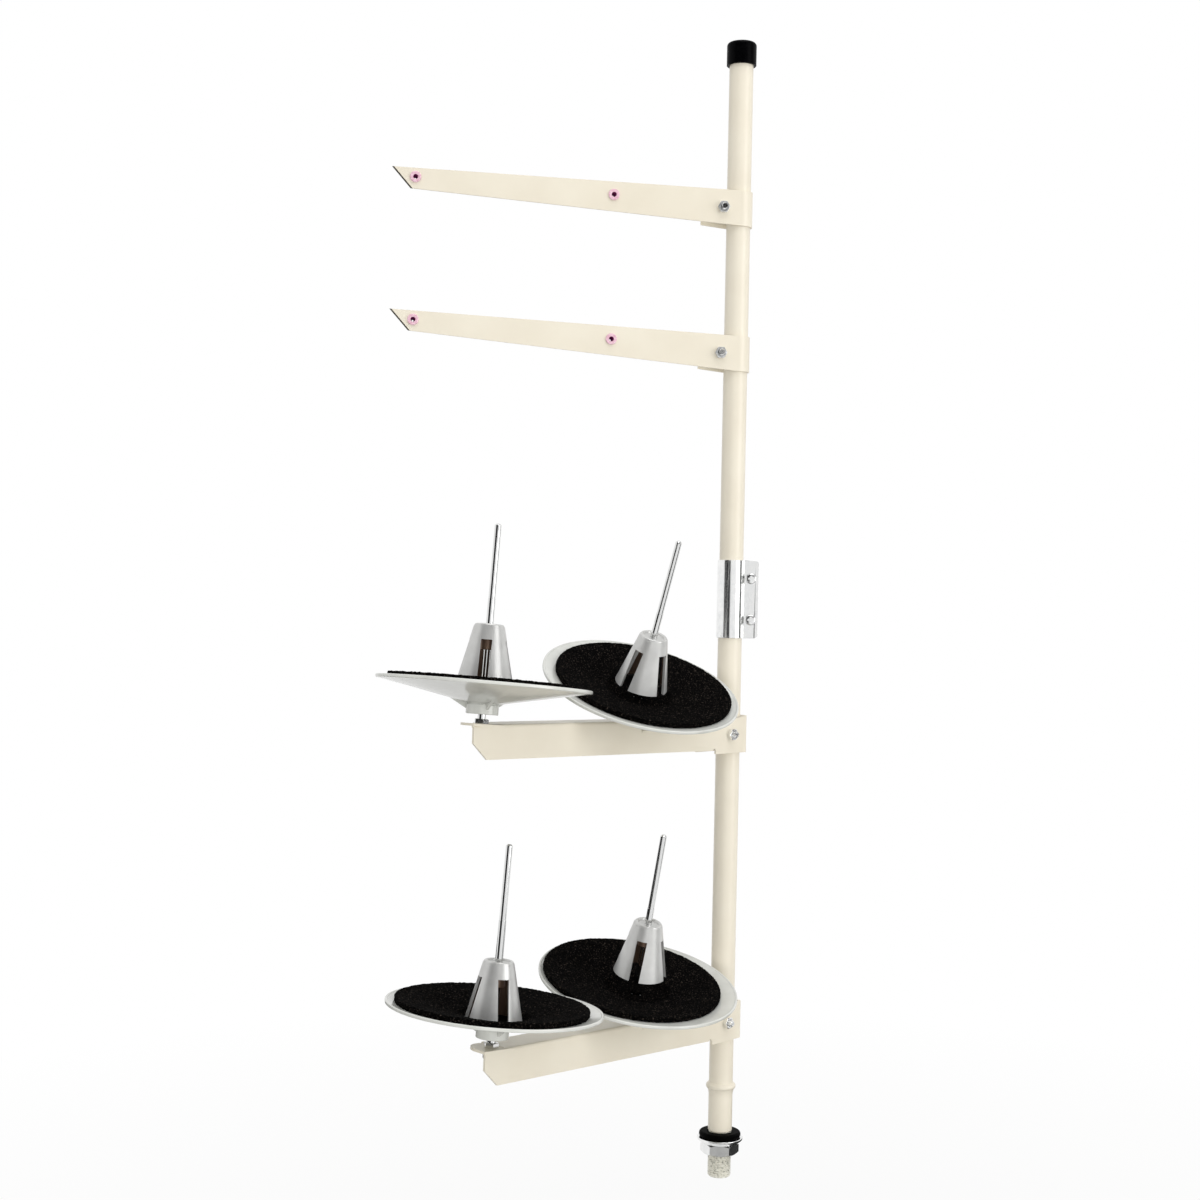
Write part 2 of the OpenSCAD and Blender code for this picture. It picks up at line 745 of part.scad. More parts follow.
// Front plate, fold and flat top flange of a spool arm
module folded_sheet() {
    flange_x = box_len + box_gap;
    flange_len = outer_x - tab_r / 2 - flange_x;
    fold_len = plate_reach - flange_x;
    foot_x = plate_reach - plate_corner_l;
    translate([0, -grip_r, 0])
        rotate([90, 0, 0])
            linear_extrude(spool_sheet)
                polygon([
                    [-box_len / 2, -fold_r], [-plate_reach, -fold_r],
                    [-plate_reach, plate_corner_h - plate_h], [-foot_x, -plate_h], [-box_len / 2, -plate_h]
                ]);
    translate([-plate_reach, fold_r - box_face, -fold_r])
        rotate([0, 90, 0])
            difference() {
                intersection() {
                    cylinder(r = fold_r, h = fold_len);
                    translate([-fold_r, -fold_r, 0])
                        cube([fold_r, fold_r, fold_len]);
                }
                translate([0, 0, -past])
                    cylinder(r = fold_r - spool_sheet, h = fold_len + 2 * past);
            }
    translate([-flange_x - flange_len, fold_r - box_face, -spool_sheet])
        cube([flange_len, flange_back + box_face - fold_r, spool_sheet]);
}

// Round tab under a station, with a tongue of a given width that runs to the front plate
module tab(station, width) {
    front = box_face + station[2][1];
    tongue = front / cos(station[3][0]) + spool_sheet;
    intersection() {
        on_seat(station)
            difference() {
                union() {
                    translate([0, 0, -spool_sheet])
                        cylinder(r = tab_r, h = spool_sheet);
                    translate([-width / 2, -tongue, -spool_sheet])
                        cube([width, tongue, spool_sheet]);
                }
                translate([0, 0, -spool_sheet - past])
                    cylinder(r = pin_hole_r, h = spool_sheet + 2 * past);
            }
        translate(station[2] - [2 * tab_r, front, 2 * tab_r])
            cube([4 * tab_r, front + 2 * tab_r, 4 * tab_r]);
    }
}

// What is cut away above an inner tab's tongue, and from the flange round the tab
module tab_opening(station) {
    half = tab_r + tab_slit;
    tongue_half = tongue_w / 2 + tab_slit;
    on_seat(station)
        translate([-tongue_half, -2 * half, -spool_sheet / 2])
            cube([2 * tongue_half, 4 * half, half]);
    translate([station[2][0] - half, fold_r - box_face, -spool_sheet - past])
        cube([2 * half, flange_back + box_face + past, spool_sheet + 2 * past]);
}

module spool_arm(arm, outer, inner) {
    color("#e9e3d1")
        difference() {
            union() {
                rotate([0, 0, arm[0]])
                    translate([0, 0, arm[1]])
                        boxed_end();
                on_arm(arm) {
                    difference() {
                        folded_sheet();
                        tab_opening(inner);
                        translate([-box_len - notch_r, 0, -plate_h])
                            rotate([90, 0, 0])
                                cylinder(r = notch_r, h = 2 * box_face);
                        on_seat(outer)
                            translate([0, 0, -2 * spool_sheet])
                                cylinder(r = pin_hole_r, h = 4 * spool_sheet);
                    }
                    tab(outer, 2 * tab_r);
                    tab(inner, tongue_w);
                }
            }
            at_set_screw(arm)
                translate([0, 0, -spool_sheet - past])
                    cylinder(r = screw_d / 2 + screw_clear, h = spool_sheet + 2 * past);
        }
}

// Headless screw that presses the pole into the boxed end's corner
module set_screw(arm) {
    inside = box_face - set_screw_tip;
    color("#b4b6b8")
        at_set_screw(arm)
            translate([0, 0, -inside])
                cylinder(d = screw_d, h = inside + screw_nut_h + screw_stand_out);
}

module set_screw_nut(arm) {
    color("#b4b6b8")
        at_set_screw(arm)
            hex_nut(screw_nut_af, screw_nut_h, screw_d / 2 + run_clear);
}

module pin(station) {
    len = station[4];
    foot = spool_sheet + spring_t + lock_nut_h + pin_stand_out;
    color("#cfd2d4")
        at_station(station)
            rotate_extrude()
                polygon([
                    [0, -foot], [pin_thread_d / 2, -foot], [pin_thread_d / 2, pin_shoulder],
                    [pin_d / 2, pin_shoulder], [pin_d / 2, pin_end_from], [pin_end_d / 2, pin_end_from],
                    [pin_end_d / 2, len - pin_tip], [pin_end_d / 2 - pin_tip, len], [0, len]
                ]);
}

module seat_nut(station) {
    color("#b4b6b8")
        at_station(station)
            hex_nut(pin_nut_af, seat_nut_h, pin_hole_r);
}

module spring_washer(station) {
    color("#b4b6b8")
        at_station(station)
            translate([0, 0, -spool_sheet - spring_t])
                difference() {
                    cylinder(d = spring_d, h = spring_t);
                    translate([0, 0, -past])
                        cylinder(r = pin_hole_r, h = spring_t + 2 * past);
                    translate([0, -spring_slit / 2, -past])
                        cube([spring_d, spring_slit, spring_t + 2 * past]);
                }
}

module lock_nut(station) {
    color("#b4b6b8")
        at_station(station)
            translate([0, 0, -spool_sheet - spring_t - lock_nut_h])
                hex_nut(pin_nut_af, lock_nut_h, pin_hole_r);
}

module dish(station) {
    rim_r = dish_d / 2;
    rim_foot = rim_r - rim_w;
    color("#e4e5e3")
        at_station(station)
            translate([0, 0, pin_shoulder])
                union() {
                    rotate_extrude()
                        polygon([
                            [pin_bore_r, 0], [hub_d / 2, 0], [hub_d / 2, hub_h], [neck_d / 2, hub_h],
                            [neck_d / 2, dish_low], [rim_foot, dish_h - rim_h], [rim_r, dish_h - rim_h],
                            [rim_r, dish_h], [rim_foot, dish_h], [rim_foot, dish_inside(rim_foot)],
                            [neck_d / 2, dish_floor], [pin_bore_r, dish_floor]
                        ]);
                    if (gussets > 0)
                        for (i = [0 : gussets - 1])
                            rotate([0, 0, gusset_turn + i * 360 / gussets])
                                translate([0, gusset_t / 2, 0])
                                    rotate([90, 0, 0])
                                        linear_extrude(gusset_t)
                                            polygon([
                                                [neck_d / 2 - dish_wall, hub_h / 2], [hub_d / 2, hub_h / 2],
                                                [gusset_reach, dish_inside(gusset_reach) - dish_wall / 2],
                                                [neck_d / 2 - dish_wall, dish_low + dish_wall / 2]
                                            ]);
                }
}

module foam_pad(station) {
    r = foam_d / 2;
    edge = r - foam_round;
    slope_r = foam_press_r + foam_slope;
    hole_r = foam_hole_d / 2;
    function low(x) = dish_inside(max(x, neck_d / 2)) + rest_clear;
    color("#151515")
        at_station(station)
            translate([0, 0, pin_shoulder])
                rotate_extrude()
                    union() {
                        polygon([
                            [hole_r, low(hole_r)], [neck_d / 2, low(neck_d / 2)], [edge, low(edge)],
                            [edge, low(edge) + foam_t], [slope_r, low(slope_r) + foam_t],
                            [foam_press_r, foam_press_z], [hole_r, foam_press_z]
                        ]);
                        translate([edge, low(edge) + foam_round])
                            circle(foam_round);
                        translate([edge, low(edge) + foam_t - foam_round])
                            circle(foam_round);
                        translate([edge, low(edge) + foam_round])
                            square([foam_round, foam_t - 2 * foam_round]);
                    }
}

module cone(station) {
    foot_r = cone_foot_d / 2;
    top_r = cone_top_d / 2;
    taper = (foot_r - top_r) / cone_h;
    roof_z = cone_h - cone_recess - cone_roof;
    under_r = top_r + taper * (cone_h - roof_z) - cone_wall;
    color("#c9cbca")
        at_station(station)
            translate([0, 0, cone_low + station[5]])
                rotate([0, 0, station[6]])
                    union() {
                        difference() {
                            rotate_extrude()
                                union() {
                                    polygon([
                                        [pin_bore_r, roof_z], [under_r, roof_z],
                                        [foot_r - cone_wall, 0], [foot_r, 0],
                                        [top_r + taper * cone_round, cone_h - cone_round],
                                        [top_r - cone_round, cone_h - cone_round],
                                        [top_r - 2 * cone_round, cone_h - cone_recess],
                                        [pin_bore_r, cone_h - cone_recess]
                                    ]);
                                    translate([top_r - cone_round, cone_h - cone_round])
                                        circle(cone_round);
                                }
                            for (i = [0 : slots - 1])
                                rotate([0, 0, i * 360 / slots])
                                    translate([collar_d / 2, -slot_w / 2, -past])
                                        cube([foot_r, slot_w, cone_h - slot_top + past]);
                        }
                        rotate_extrude()
                            translate([pin_bore_r, cone_h - collar_len])
                                square([collar_d / 2 - pin_bore_r, collar_len - cone_recess]);
                    }
}

if (drawn("lower_tube")) lower_tube();
if (drawn("upper_tube")) upper_tube();
if (drawn("end_cap")) end_cap();
if (drawn("tube_clamp")) tube_clamp();
if (drawn("tube_clamp_screws")) tube_clamp_screws();
if (drawn("tube_clamp_nuts")) tube_clamp_nuts();
if (drawn("rubber_washer")) rubber_washer();
if (drawn("steel_washer")) steel_washer();
if (drawn("table_nut")) table_nut();

for (g = GUIDES) {
    if (drawn(str(g[0], "_arm"))) guide_arm(g);
    if (drawn(str(g[0], "_outer_eyelet"))) guide_eyelet(g, eyelet_outer_x);
    if (drawn(str(g[0], "_inner_eyelet"))) guide_eyelet(g, eyelet_inner_x);
    if (drawn(str(g[0], "_screw"))) guide_screw(g);
    if (drawn(str(g[0], "_nut"))) guide_nut(g);
}

for (a = SPOOL_ARMS) {
    if (drawn(str(a[0], "_arm"))) spool_arm(a[1], a[2], a[3]);
    if (drawn(str(a[0], "_set_screw"))) set_screw(a[1]);
    if (drawn(str(a[0], "_set_screw_nut"))) set_screw_nut(a[1]);
}

for (s = STATIONS) {
    if (drawn(str(s[0], "_pin"))) pin(s);
    if (drawn(str(s[0], "_seat_nut"))) seat_nut(s);
    if (drawn(str(s[0], "_spring_washer"))) spring_washer(s);
    if (drawn(str(s[0], "_lock_nut"))) lock_nut(s);
    if (drawn(str(s[0], "_dish"))) dish(s);
    if (drawn(str(s[0], "_foam_pad"))) foam_pad(s);
    if (drawn(str(s[0], "_cone"))) cone(s);
}
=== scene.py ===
# %% [markdown]
# # A thread stand, dressed for its picture
# The stand is a pole that is clamped through a sewing table. Two painted arms near its top guide the
# threads through eyelets, and two folded arms lower down carry four stations: a steel pin, a plastic dish,
# a foam pad and a slotted cone that centres the spool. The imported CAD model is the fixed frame, and this
# lesson gives every piece its rounded edges, its threads and its finish.

# %% Load the frame
import json
from math import cos, hypot, pi, radians, sin, sqrt

import bpy
from mathutils import Matrix, Quaternion, Vector


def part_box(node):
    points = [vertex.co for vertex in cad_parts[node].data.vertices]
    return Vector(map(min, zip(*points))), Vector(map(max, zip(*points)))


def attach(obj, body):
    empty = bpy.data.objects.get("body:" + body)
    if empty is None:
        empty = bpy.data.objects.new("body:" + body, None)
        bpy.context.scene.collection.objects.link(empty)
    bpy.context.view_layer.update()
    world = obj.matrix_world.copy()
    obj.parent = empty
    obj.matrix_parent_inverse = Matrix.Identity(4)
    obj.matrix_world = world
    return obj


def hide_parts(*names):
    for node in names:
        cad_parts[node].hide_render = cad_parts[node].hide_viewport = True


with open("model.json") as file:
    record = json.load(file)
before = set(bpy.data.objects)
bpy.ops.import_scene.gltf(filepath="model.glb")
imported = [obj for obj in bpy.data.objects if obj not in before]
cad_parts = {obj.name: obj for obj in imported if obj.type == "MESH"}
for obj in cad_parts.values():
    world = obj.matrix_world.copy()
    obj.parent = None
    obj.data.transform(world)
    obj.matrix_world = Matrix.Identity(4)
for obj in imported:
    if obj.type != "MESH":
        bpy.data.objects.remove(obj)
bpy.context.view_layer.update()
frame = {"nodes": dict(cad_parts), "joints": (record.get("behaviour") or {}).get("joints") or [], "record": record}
record = frame["record"]
MM = 0.001

# %% [markdown]
# ## Which body and which finish
# The record already says on which moving body a node rides and which material slot it has. The body is
# looked up here once, so that a new piece can take over a node's place with one call; the finish is passed in.

# %% Look up bodies
body_of = {node: body for body, nodes in record["behaviour"]["bodies"].items() for node in nodes}
joint_of = {joint["name"]: joint for joint in frame["joints"]}
STATIONS = ["upper_outer", "upper_inner", "lower_outer", "lower_inner"]


def stand_for(piece, node, finish):
    """A new piece takes the place of a CAD node: its body and its finish."""
    piece.data.materials.clear()
    piece.data.materials.append(finish)
    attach(piece, body_of[node])
    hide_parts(node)
    return piece


# %% [markdown]
# ## The camera
# The photograph was taken from a little below the middle of the stand, about 1.24 m away. The place, the
# point it looks at and a small roll were fitted to points of the photograph, and the lens follows from the
# focal length in pixels: 1850 of a picture 1200 wide, on a 36 mm sensor.

# %% Set the camera
EYE = Vector((-0.25455, -1.21529, 0.33540))
AIM = Vector((-0.08826, 0.0, 0.32733))
ROLL = radians(1.147)
SENSOR, FOCAL_PIXELS, PICTURE_PIXELS = 36, 1850, 1200

bpy.ops.object.camera_add(location=EYE)
camera = bpy.context.object
camera.name = "camera"
turn = (AIM - EYE).to_track_quat("-Z", "Y") @ Quaternion((0, 0, 1), ROLL)
camera.rotation_euler = turn.to_euler()
camera.data.sensor_width = SENSOR
camera.data.lens = SENSOR * FOCAL_PIXELS / PICTURE_PIXELS
camera.data.clip_start = 0.05
bpy.context.scene.camera = camera
bpy.context.scene.view_settings.view_transform = "Standard"
print("camera", round((AIM - EYE).length, 3), "m from its aim, lens", camera.data.lens, "mm")

# %% [markdown]
# ## Colours and nodes
# Colours are written as the sRGB hex values that a picture editor shows, and shaders work with linear
# light, so one function converts them. A second small function adds a node, sets it and links it.

# %% Helpers for the finishes
def linear(hex_colour):
    """Linear RGBA of an sRGB hex colour."""
    parts = [int(hex_colour[i : i + 2], 16) / 255 for i in (1, 3, 5)]
    return [p / 12.92 if p <= 0.04045 else ((p + 0.055) / 1.055) ** 2.4 for p in parts] + [1.0]


def add(tree, kind, inputs=None, stops=(), **settings):
    """Adds a node. Each input is a value, or another node's output to link. Stops are a colour ramp's."""
    node = tree.nodes.new("ShaderNode" + kind)
    for name, value in settings.items():
        setattr(node, name, value)
    for i, (position, colour) in enumerate(stops):
        stop = node.color_ramp.elements[i] if i < 2 else node.color_ramp.elements.new(position)
        stop.position = position
        stop.color = linear(colour)
    for name, value in (inputs or {}).items():
        if isinstance(value, bpy.types.NodeSocket):
            tree.links.new(value, node.inputs[name])
        else:
            node.inputs[name].default_value = value
    return node


def new_finish(name, **constants):
    """A material with its shader's plain values set, and the tree to add a pattern to."""
    finish = bpy.data.materials.new(name)
    finish.use_nodes = True
    shader = finish.node_tree.nodes["Principled BSDF"]
    for socket, value in constants.items():
        shader.inputs[socket.replace("_", " ")].default_value = value
    return finish, finish.node_tree, shader


print("cream in linear light:", [round(x, 3) for x in linear("#E8E1CC")[:3]])

# %% [markdown]
# ## Cream enamel
# The tubes and arms are steel, sprayed with cream paint and baked. The eye sees an even, half-gloss colour
# with a faint orange peel, a trace of unevenness from the spray, and a slightly thinner, warmer coat along
# the edges. The edges carry an attribute called edge, which each piece gets further down, and the slanted
# tips of the guide arms one that colours them dark brown.

# %% Cream enamel
def cream_enamel():
    finish, tree, shader = new_finish("stoved_cream_enamel", Roughness=0.34, IOR=1.5)
    place = add(tree, "TexCoord").outputs["Object"]
    # Spray clouds, about 35 mm across
    clouds = add(tree, "TexNoise", {"Vector": place, "Scale": 1 / (35 * MM), "Detail": 3.0})
    stops = [(0.3, "#E3DBC9"), (0.7, "#E9E2D1")]
    coat = add(tree, "ValToRGB", {"Fac": clouds.outputs[0]}, stops)
    # Thin paint on the edges, broken up every 4 mm or so
    edge = add(tree, "Attribute", attribute_name="edge").outputs["Fac"]
    breaks = add(tree, "TexNoise", {"Vector": place, "Scale": 1 / (4 * MM), "Detail": 2.0})
    thin = add(tree, "Math", {0: edge, 1: breaks.outputs[0]}, operation="MULTIPLY")
    worn = add(tree, "Mix", {0: thin.outputs[0], 6: coat.outputs[0], 7: linear("#CFC3A8")}, data_type="RGBA")
    # A dark brown band along the guide arms' slanted tips
    dark_tip_band = add(tree, "Attribute", attribute_name="dark_tip_band").outputs["Fac"]
    colour = add(tree, "Mix", {0: dark_tip_band, 6: worn.outputs[2], 7: linear("#3B382D")}, data_type="RGBA")
    tree.links.new(colour.outputs[2], shader.inputs["Base Color"])
    # Orange peel of about 1.5 mm, 3 hundredths of a millimetre deep
    peel = add(tree, "TexNoise", {"Vector": place, "Scale": 1 / (1.5 * MM), "Detail": 1.0})
    bump = add(tree, "Bump", {"Height": peel.outputs[0], "Strength": 0.35, "Distance": 0.03 * MM})
    tree.links.new(bump.outputs["Normal"], shader.inputs["Normal"])
    return finish


ENAMEL = cream_enamel()
print("made", ENAMEL.name)

# %% [markdown]
# ## Zinc, steel and the polished pins
# The clamp, the steel washer and most fasteners are bright zinc plate, the guide nuts and the spring
# washers are duller zinc-plated steel, and the pins are polished rod. All three are metals, so the colour
# lies in the reflection. What tells them apart is how rough they are, and the lines that rolling or drawing
# left on them. The duller plate has a whitish bloom that scatters some light, and the shank's thread caught
# a mist of the cream paint.

# %% Metals
def bright_zinc():
    finish, tree, shader = new_finish("bright_zinc_plate", Metallic=1.0)
    place = add(tree, "TexCoord").outputs["Object"]
    # Plating clouds of about 6 mm
    clouds = add(tree, "TexNoise", {"Vector": place, "Scale": 1 / (6 * MM), "Detail": 4.0})
    stops = [(0.25, "#E4E5E5"), (0.75, "#F7F7F6")]
    colour = add(tree, "ValToRGB", {"Fac": clouds.outputs[0]}, stops)
    tree.links.new(colour.outputs[0], shader.inputs["Base Color"])
    rough = add(tree, "MapRange", {"Value": clouds.outputs[0], "To Min": 0.1, "To Max": 0.26})
    tree.links.new(rough.outputs[0], shader.inputs["Roughness"])
    # Rolling lines up the sheet: 0.4 mm apart, 15 mm long
    stretch = (1 / (0.4 * MM), 1 / (0.4 * MM), 1 / (15 * MM))
    lines_place = add(tree, "Mapping", {"Vector": place, "Scale": stretch})
    lines = add(tree, "TexNoise", {"Vector": lines_place.outputs[0], "Scale": 1.0, "Detail": 2.0})
    # The lines are drawn a little coarser than they are, so that they show
    waves = add(tree, "Math", {0: lines.outputs[0], 1: clouds.outputs[0]}, operation="ADD")
    bump = add(tree, "Bump", {"Height": waves.outputs[0], "Strength": 0.3, "Distance": 0.03 * MM})
    tree.links.new(bump.outputs["Normal"], shader.inputs["Normal"])
    return finish


def plated_steel():
    finish, tree, shader = new_finish("zinc_plated_steel", Metallic=0.6)
    place = add(tree, "TexCoord").outputs["Object"]
    # Grey patches of about 1.5 mm, where the plating has dulled
    patches = add(tree, "TexNoise", {"Vector": place, "Scale": 1 / (1.5 * MM), "Detail": 4.0})
    stops = [(0.3, "#C2C4C5"), (0.7, "#EBECEC")]
    colour = add(tree, "ValToRGB", {"Fac": patches.outputs[0]}, stops)
    tree.links.new(colour.outputs[0], shader.inputs["Base Color"])
    rough = add(tree, "MapRange", {"Value": patches.outputs[0], "To Min": 0.1, "To Max": 0.28})
    tree.links.new(rough.outputs[0], shader.inputs["Roughness"])
    bump = add(tree, "Bump", {"Height": patches.outputs[0], "Strength": 0.3, "Distance": 0.02 * MM})
    tree.links.new(bump.outputs["Normal"], shader.inputs["Normal"])
    return finish


def polished_steel():
    finish, tree, shader = new_finish("polished_steel_rod", Metallic=1.0)
    place = add(tree, "TexCoord").outputs["Object"]
    # Drawing lines along the pin: 0.3 mm apart, 25 mm long
    stretch = (1 / (0.3 * MM), 1 / (0.3 * MM), 1 / (25 * MM))
    lines_place = add(tree, "Mapping", {"Vector": place, "Scale": stretch})
    lines = add(tree, "TexNoise", {"Vector": lines_place.outputs[0], "Scale": 1.0, "Detail": 2.0})
    stops = [(0.3, "#D2D3D3"), (0.7, "#EBEBEA")]
    colour = add(tree, "ValToRGB", {"Fac": lines.outputs[0]}, stops)
    tree.links.new(colour.outputs[0], shader.inputs["Base Color"])
    rough = add(tree, "MapRange", {"Value": lines.outputs[0], "To Min": 0.05, "To Max": 0.11})
    tree.links.new(rough.outputs[0], shader.inputs["Roughness"])
    bump = add(tree, "Bump", {"Height": lines.outputs[0], "Strength": 0.015, "Distance": 0.01 * MM})
    tree.links.new(bump.outputs["Normal"], shader.inputs["Normal"])
    return finish


def sprayed_thread():
    finish, tree, shader = new_finish("zinc_thread_with_overspray", Roughness=0.42, Metallic=0.35)
    place = add(tree, "TexCoord").outputs["Object"]
    # Paint mist in patches of about 1.4 mm, with uncoated plating where it missed
    mist = add(tree, "TexNoise", {"Vector": place, "Scale": 1 / (1.4 * MM), "Detail": 3.0})
    stops = [(0.3, "#96958C"), (0.46, "#DFDDD1"), (0.72, "#F2F0E6")]
    colour = add(tree, "ValToRGB", {"Fac": mist.outputs[0]}, stops)
    tree.links.new(colour.outputs[0], shader.inputs["Base Color"])
    return finish


ZINC, STEEL, POLISHED, SPRAYED = bright_zinc(), plated_steel(), polished_steel(), sprayed_thread()
print("made", ZINC.name, STEEL.name, POLISHED.name, SPRAYED.name)

# %% [markdown]
# ## Plastics, ceramic, rubber and foam
# The dishes are glossy moulded polystyrene, and the cones a greyer, less glossy nylon. The eyelets are pink
# glazed ceramic, hard enough that thread can't saw into it. The cap is dipped vinyl, the washer rubber, and
# the pads open-cell foam, whose pores swallow the light so that it looks black.

# %% Plastics and ceramic
def moulded_polystyrene():
    finish, tree, shader = new_finish("moulded_polystyrene", Roughness=0.13, IOR=1.58)
    place = add(tree, "TexCoord").outputs["Object"]
    # Flow marks of about 12 mm from the moulding
    flow = add(tree, "TexNoise", {"Vector": place, "Scale": 1 / (12 * MM), "Detail": 3.0})
    stops = [(0.3, "#CDCEC8"), (0.7, "#D6D7D2")]
    colour = add(tree, "ValToRGB", {"Fac": flow.outputs[0]}, stops)
    tree.links.new(colour.outputs[0], shader.inputs["Base Color"])
    # The mould's polish, 0.8 mm ripples
    ripples = add(tree, "TexNoise", {"Vector": place, "Scale": 1 / (0.8 * MM), "Detail": 1.0})
    bump = add(tree, "Bump", {"Height": ripples.outputs[0], "Strength": 0.15, "Distance": 0.02 * MM})
    tree.links.new(bump.outputs["Normal"], shader.inputs["Normal"])
    return finish


def moulded_nylon():
    # Its grey pigment has a sheen, so Metallic is raised above a plain plastic's
    finish, tree, shader = new_finish("moulded_grey_nylon", Roughness=0.34, IOR=1.53, Metallic=0.5)
    place = add(tree, "TexCoord").outputs["Object"]
    # Flow marks of about 8 mm
    flow = add(tree, "TexNoise", {"Vector": place, "Scale": 1 / (8 * MM), "Detail": 3.0})
    stops = [(0.3, "#C4C4C2"), (0.7, "#CFCFCD")]
    colour = add(tree, "ValToRGB", {"Fac": flow.outputs[0]}, stops)
    # Painted shade inside the cone: a dark warm brown for the shade and the warm light that comes through the wall
    inside = add(tree, "Attribute", attribute_name="inside").outputs["Fac"]
    painted_shade_colour = add(tree, "Mix", {0: inside, 6: colour.outputs[0], 7: linear("#7E6757")}, data_type="RGBA")
    tree.links.new(painted_shade_colour.outputs[2], shader.inputs["Base Color"])
    # Spark-eroded mould texture, drawn at 0.5 mm so that it shows
    grain = add(tree, "TexNoise", {"Vector": place, "Scale": 1 / (0.5 * MM), "Detail": 2.0})
    bump = add(tree, "Bump", {"Height": grain.outputs[0], "Strength": 0.25, "Distance": 0.02 * MM})
    tree.links.new(bump.outputs["Normal"], shader.inputs["Normal"])
    return finish


def pink_ceramic():
    finish, tree, shader = new_finish("pink_glazed_ceramic", Roughness=0.25, IOR=1.6, Coat_Roughness=0.05)
    place = add(tree, "TexCoord").outputs["Object"]
    # Glaze pools about 1.2 mm across
    pools = add(tree, "TexNoise", {"Vector": place, "Scale": 1 / (1.2 * MM), "Detail": 2.0})
    stops = [(0.3, "#DDA9BB"), (0.7, "#F0CFDC")]
    colour = add(tree, "ValToRGB", {"Fac": pools.outputs[0]}, stops)
    # The bore is painted dark plum for its shade and the pink light bounced in it, and loses its gloss
    bore = add(tree, "Attribute", attribute_name="bore").outputs["Fac"]
    painted_shade_colour = add(tree, "Mix", {0: bore, 6: colour.outputs[0], 7: linear("#8E3A70")}, data_type="RGBA")
    tree.links.new(painted_shade_colour.outputs[2], shader.inputs["Base Color"])
    for socket, glazed in (("Coat Weight", 0.8), ("Specular IOR Level", 0.5)):
        gloss = add(tree, "MapRange", {"Value": bore, "To Min": glazed, "To Max": 0.0})
        tree.links.new(gloss.outputs[0], shader.inputs[socket])
    return finish


DISH_PLASTIC, CONE_PLASTIC, CERAMIC = moulded_polystyrene(), moulded_nylon(), pink_ceramic()
print("made", DISH_PLASTIC.name, CONE_PLASTIC.name, CERAMIC.name)

# %% Rubber, vinyl and foam
def black_rubber(name, dark, light, roughness):
    finish, tree, shader = new_finish(name, Roughness=roughness, Specular_IOR_Level=0.03)
    place = add(tree, "TexCoord").outputs["Object"]
    # Bloom and dust in 2 mm patches
    dust = add(tree, "TexNoise", {"Vector": place, "Scale": 1 / (2 * MM), "Detail": 4.0})
    stops = [(0.4, dark), (0.8, light)]
    colour = add(tree, "ValToRGB", {"Fac": dust.outputs[0]}, stops)
    tree.links.new(colour.outputs[0], shader.inputs["Base Color"])
    bump = add(tree, "Bump", {"Height": dust.outputs[0], "Strength": 0.3, "Distance": 0.04 * MM})
    tree.links.new(bump.outputs["Normal"], shader.inputs["Normal"])
    return finish


def open_cell_foam():
    finish, tree, shader = new_finish("open_cell_foam", Roughness=0.95, Specular_IOR_Level=0.02)
    place = add(tree, "TexCoord").outputs["Object"]
    # Cells of about 0.9 mm: dark holes between lighter struts
    cells = add(tree, "TexVoronoi", {"Vector": place, "Scale": 1 / (0.9 * MM)}, feature="F1")
    specks = add(tree, "TexNoise", {"Vector": place, "Scale": 1 / (0.6 * MM), "Detail": 3.0})
    struts = add(tree, "Math", {0: cells.outputs["Distance"], 1: specks.outputs[0]}, operation="MULTIPLY")
    stops = [(0.12, "#010101"), (0.38, "#0B0A0A"), (0.52, "#463F39")]
    colour = add(tree, "ValToRGB", {"Fac": struts.outputs[0]}, stops)
    tree.links.new(colour.outputs[0], shader.inputs["Base Color"])
    bump = add(tree, "Bump", {"Height": struts.outputs[0], "Strength": 1.0, "Distance": 0.6 * MM})
    tree.links.new(bump.outputs["Normal"], shader.inputs["Normal"])
    return finish


RUBBER = black_rubber("black_rubber", "#010101", "#040404", 0.62)
VINYL = black_rubber("dipped_black_vinyl", "#020203", "#070708", 0.33)
FOAM = open_cell_foam()
print("made", RUBBER.name, VINYL.name, FOAM.name)

# %% [markdown]
# ## Rounded edges
# Nothing pressed, moulded or painted has a knife edge. A copy of a CAD node is joined up from its loose
# triangles, its flat faces are made whole, and a Bevel modifier rounds what is sharp. The bevel's faces are
# remembered as the edge attribute, and Weighted Normal keeps the flat faces flat between the rounded edges.

# %% Round the edges of a copy
def only(piece):
    """Makes one piece the only selected one, and the active one."""
    bpy.ops.object.select_all(action="DESELECT")
    piece.select_set(True)
    bpy.context.view_layer.objects.active = piece


def smooth(piece, angle=30):
    """Smooth shading, with the larger faces' normals leading."""
    only(piece)
    bpy.ops.object.shade_smooth_by_angle(angle=radians(angle))
    piece.modifiers.new("flats", "WEIGHTED_NORMAL").keep_sharp = True
    bpy.ops.object.modifier_apply(modifier="flats")


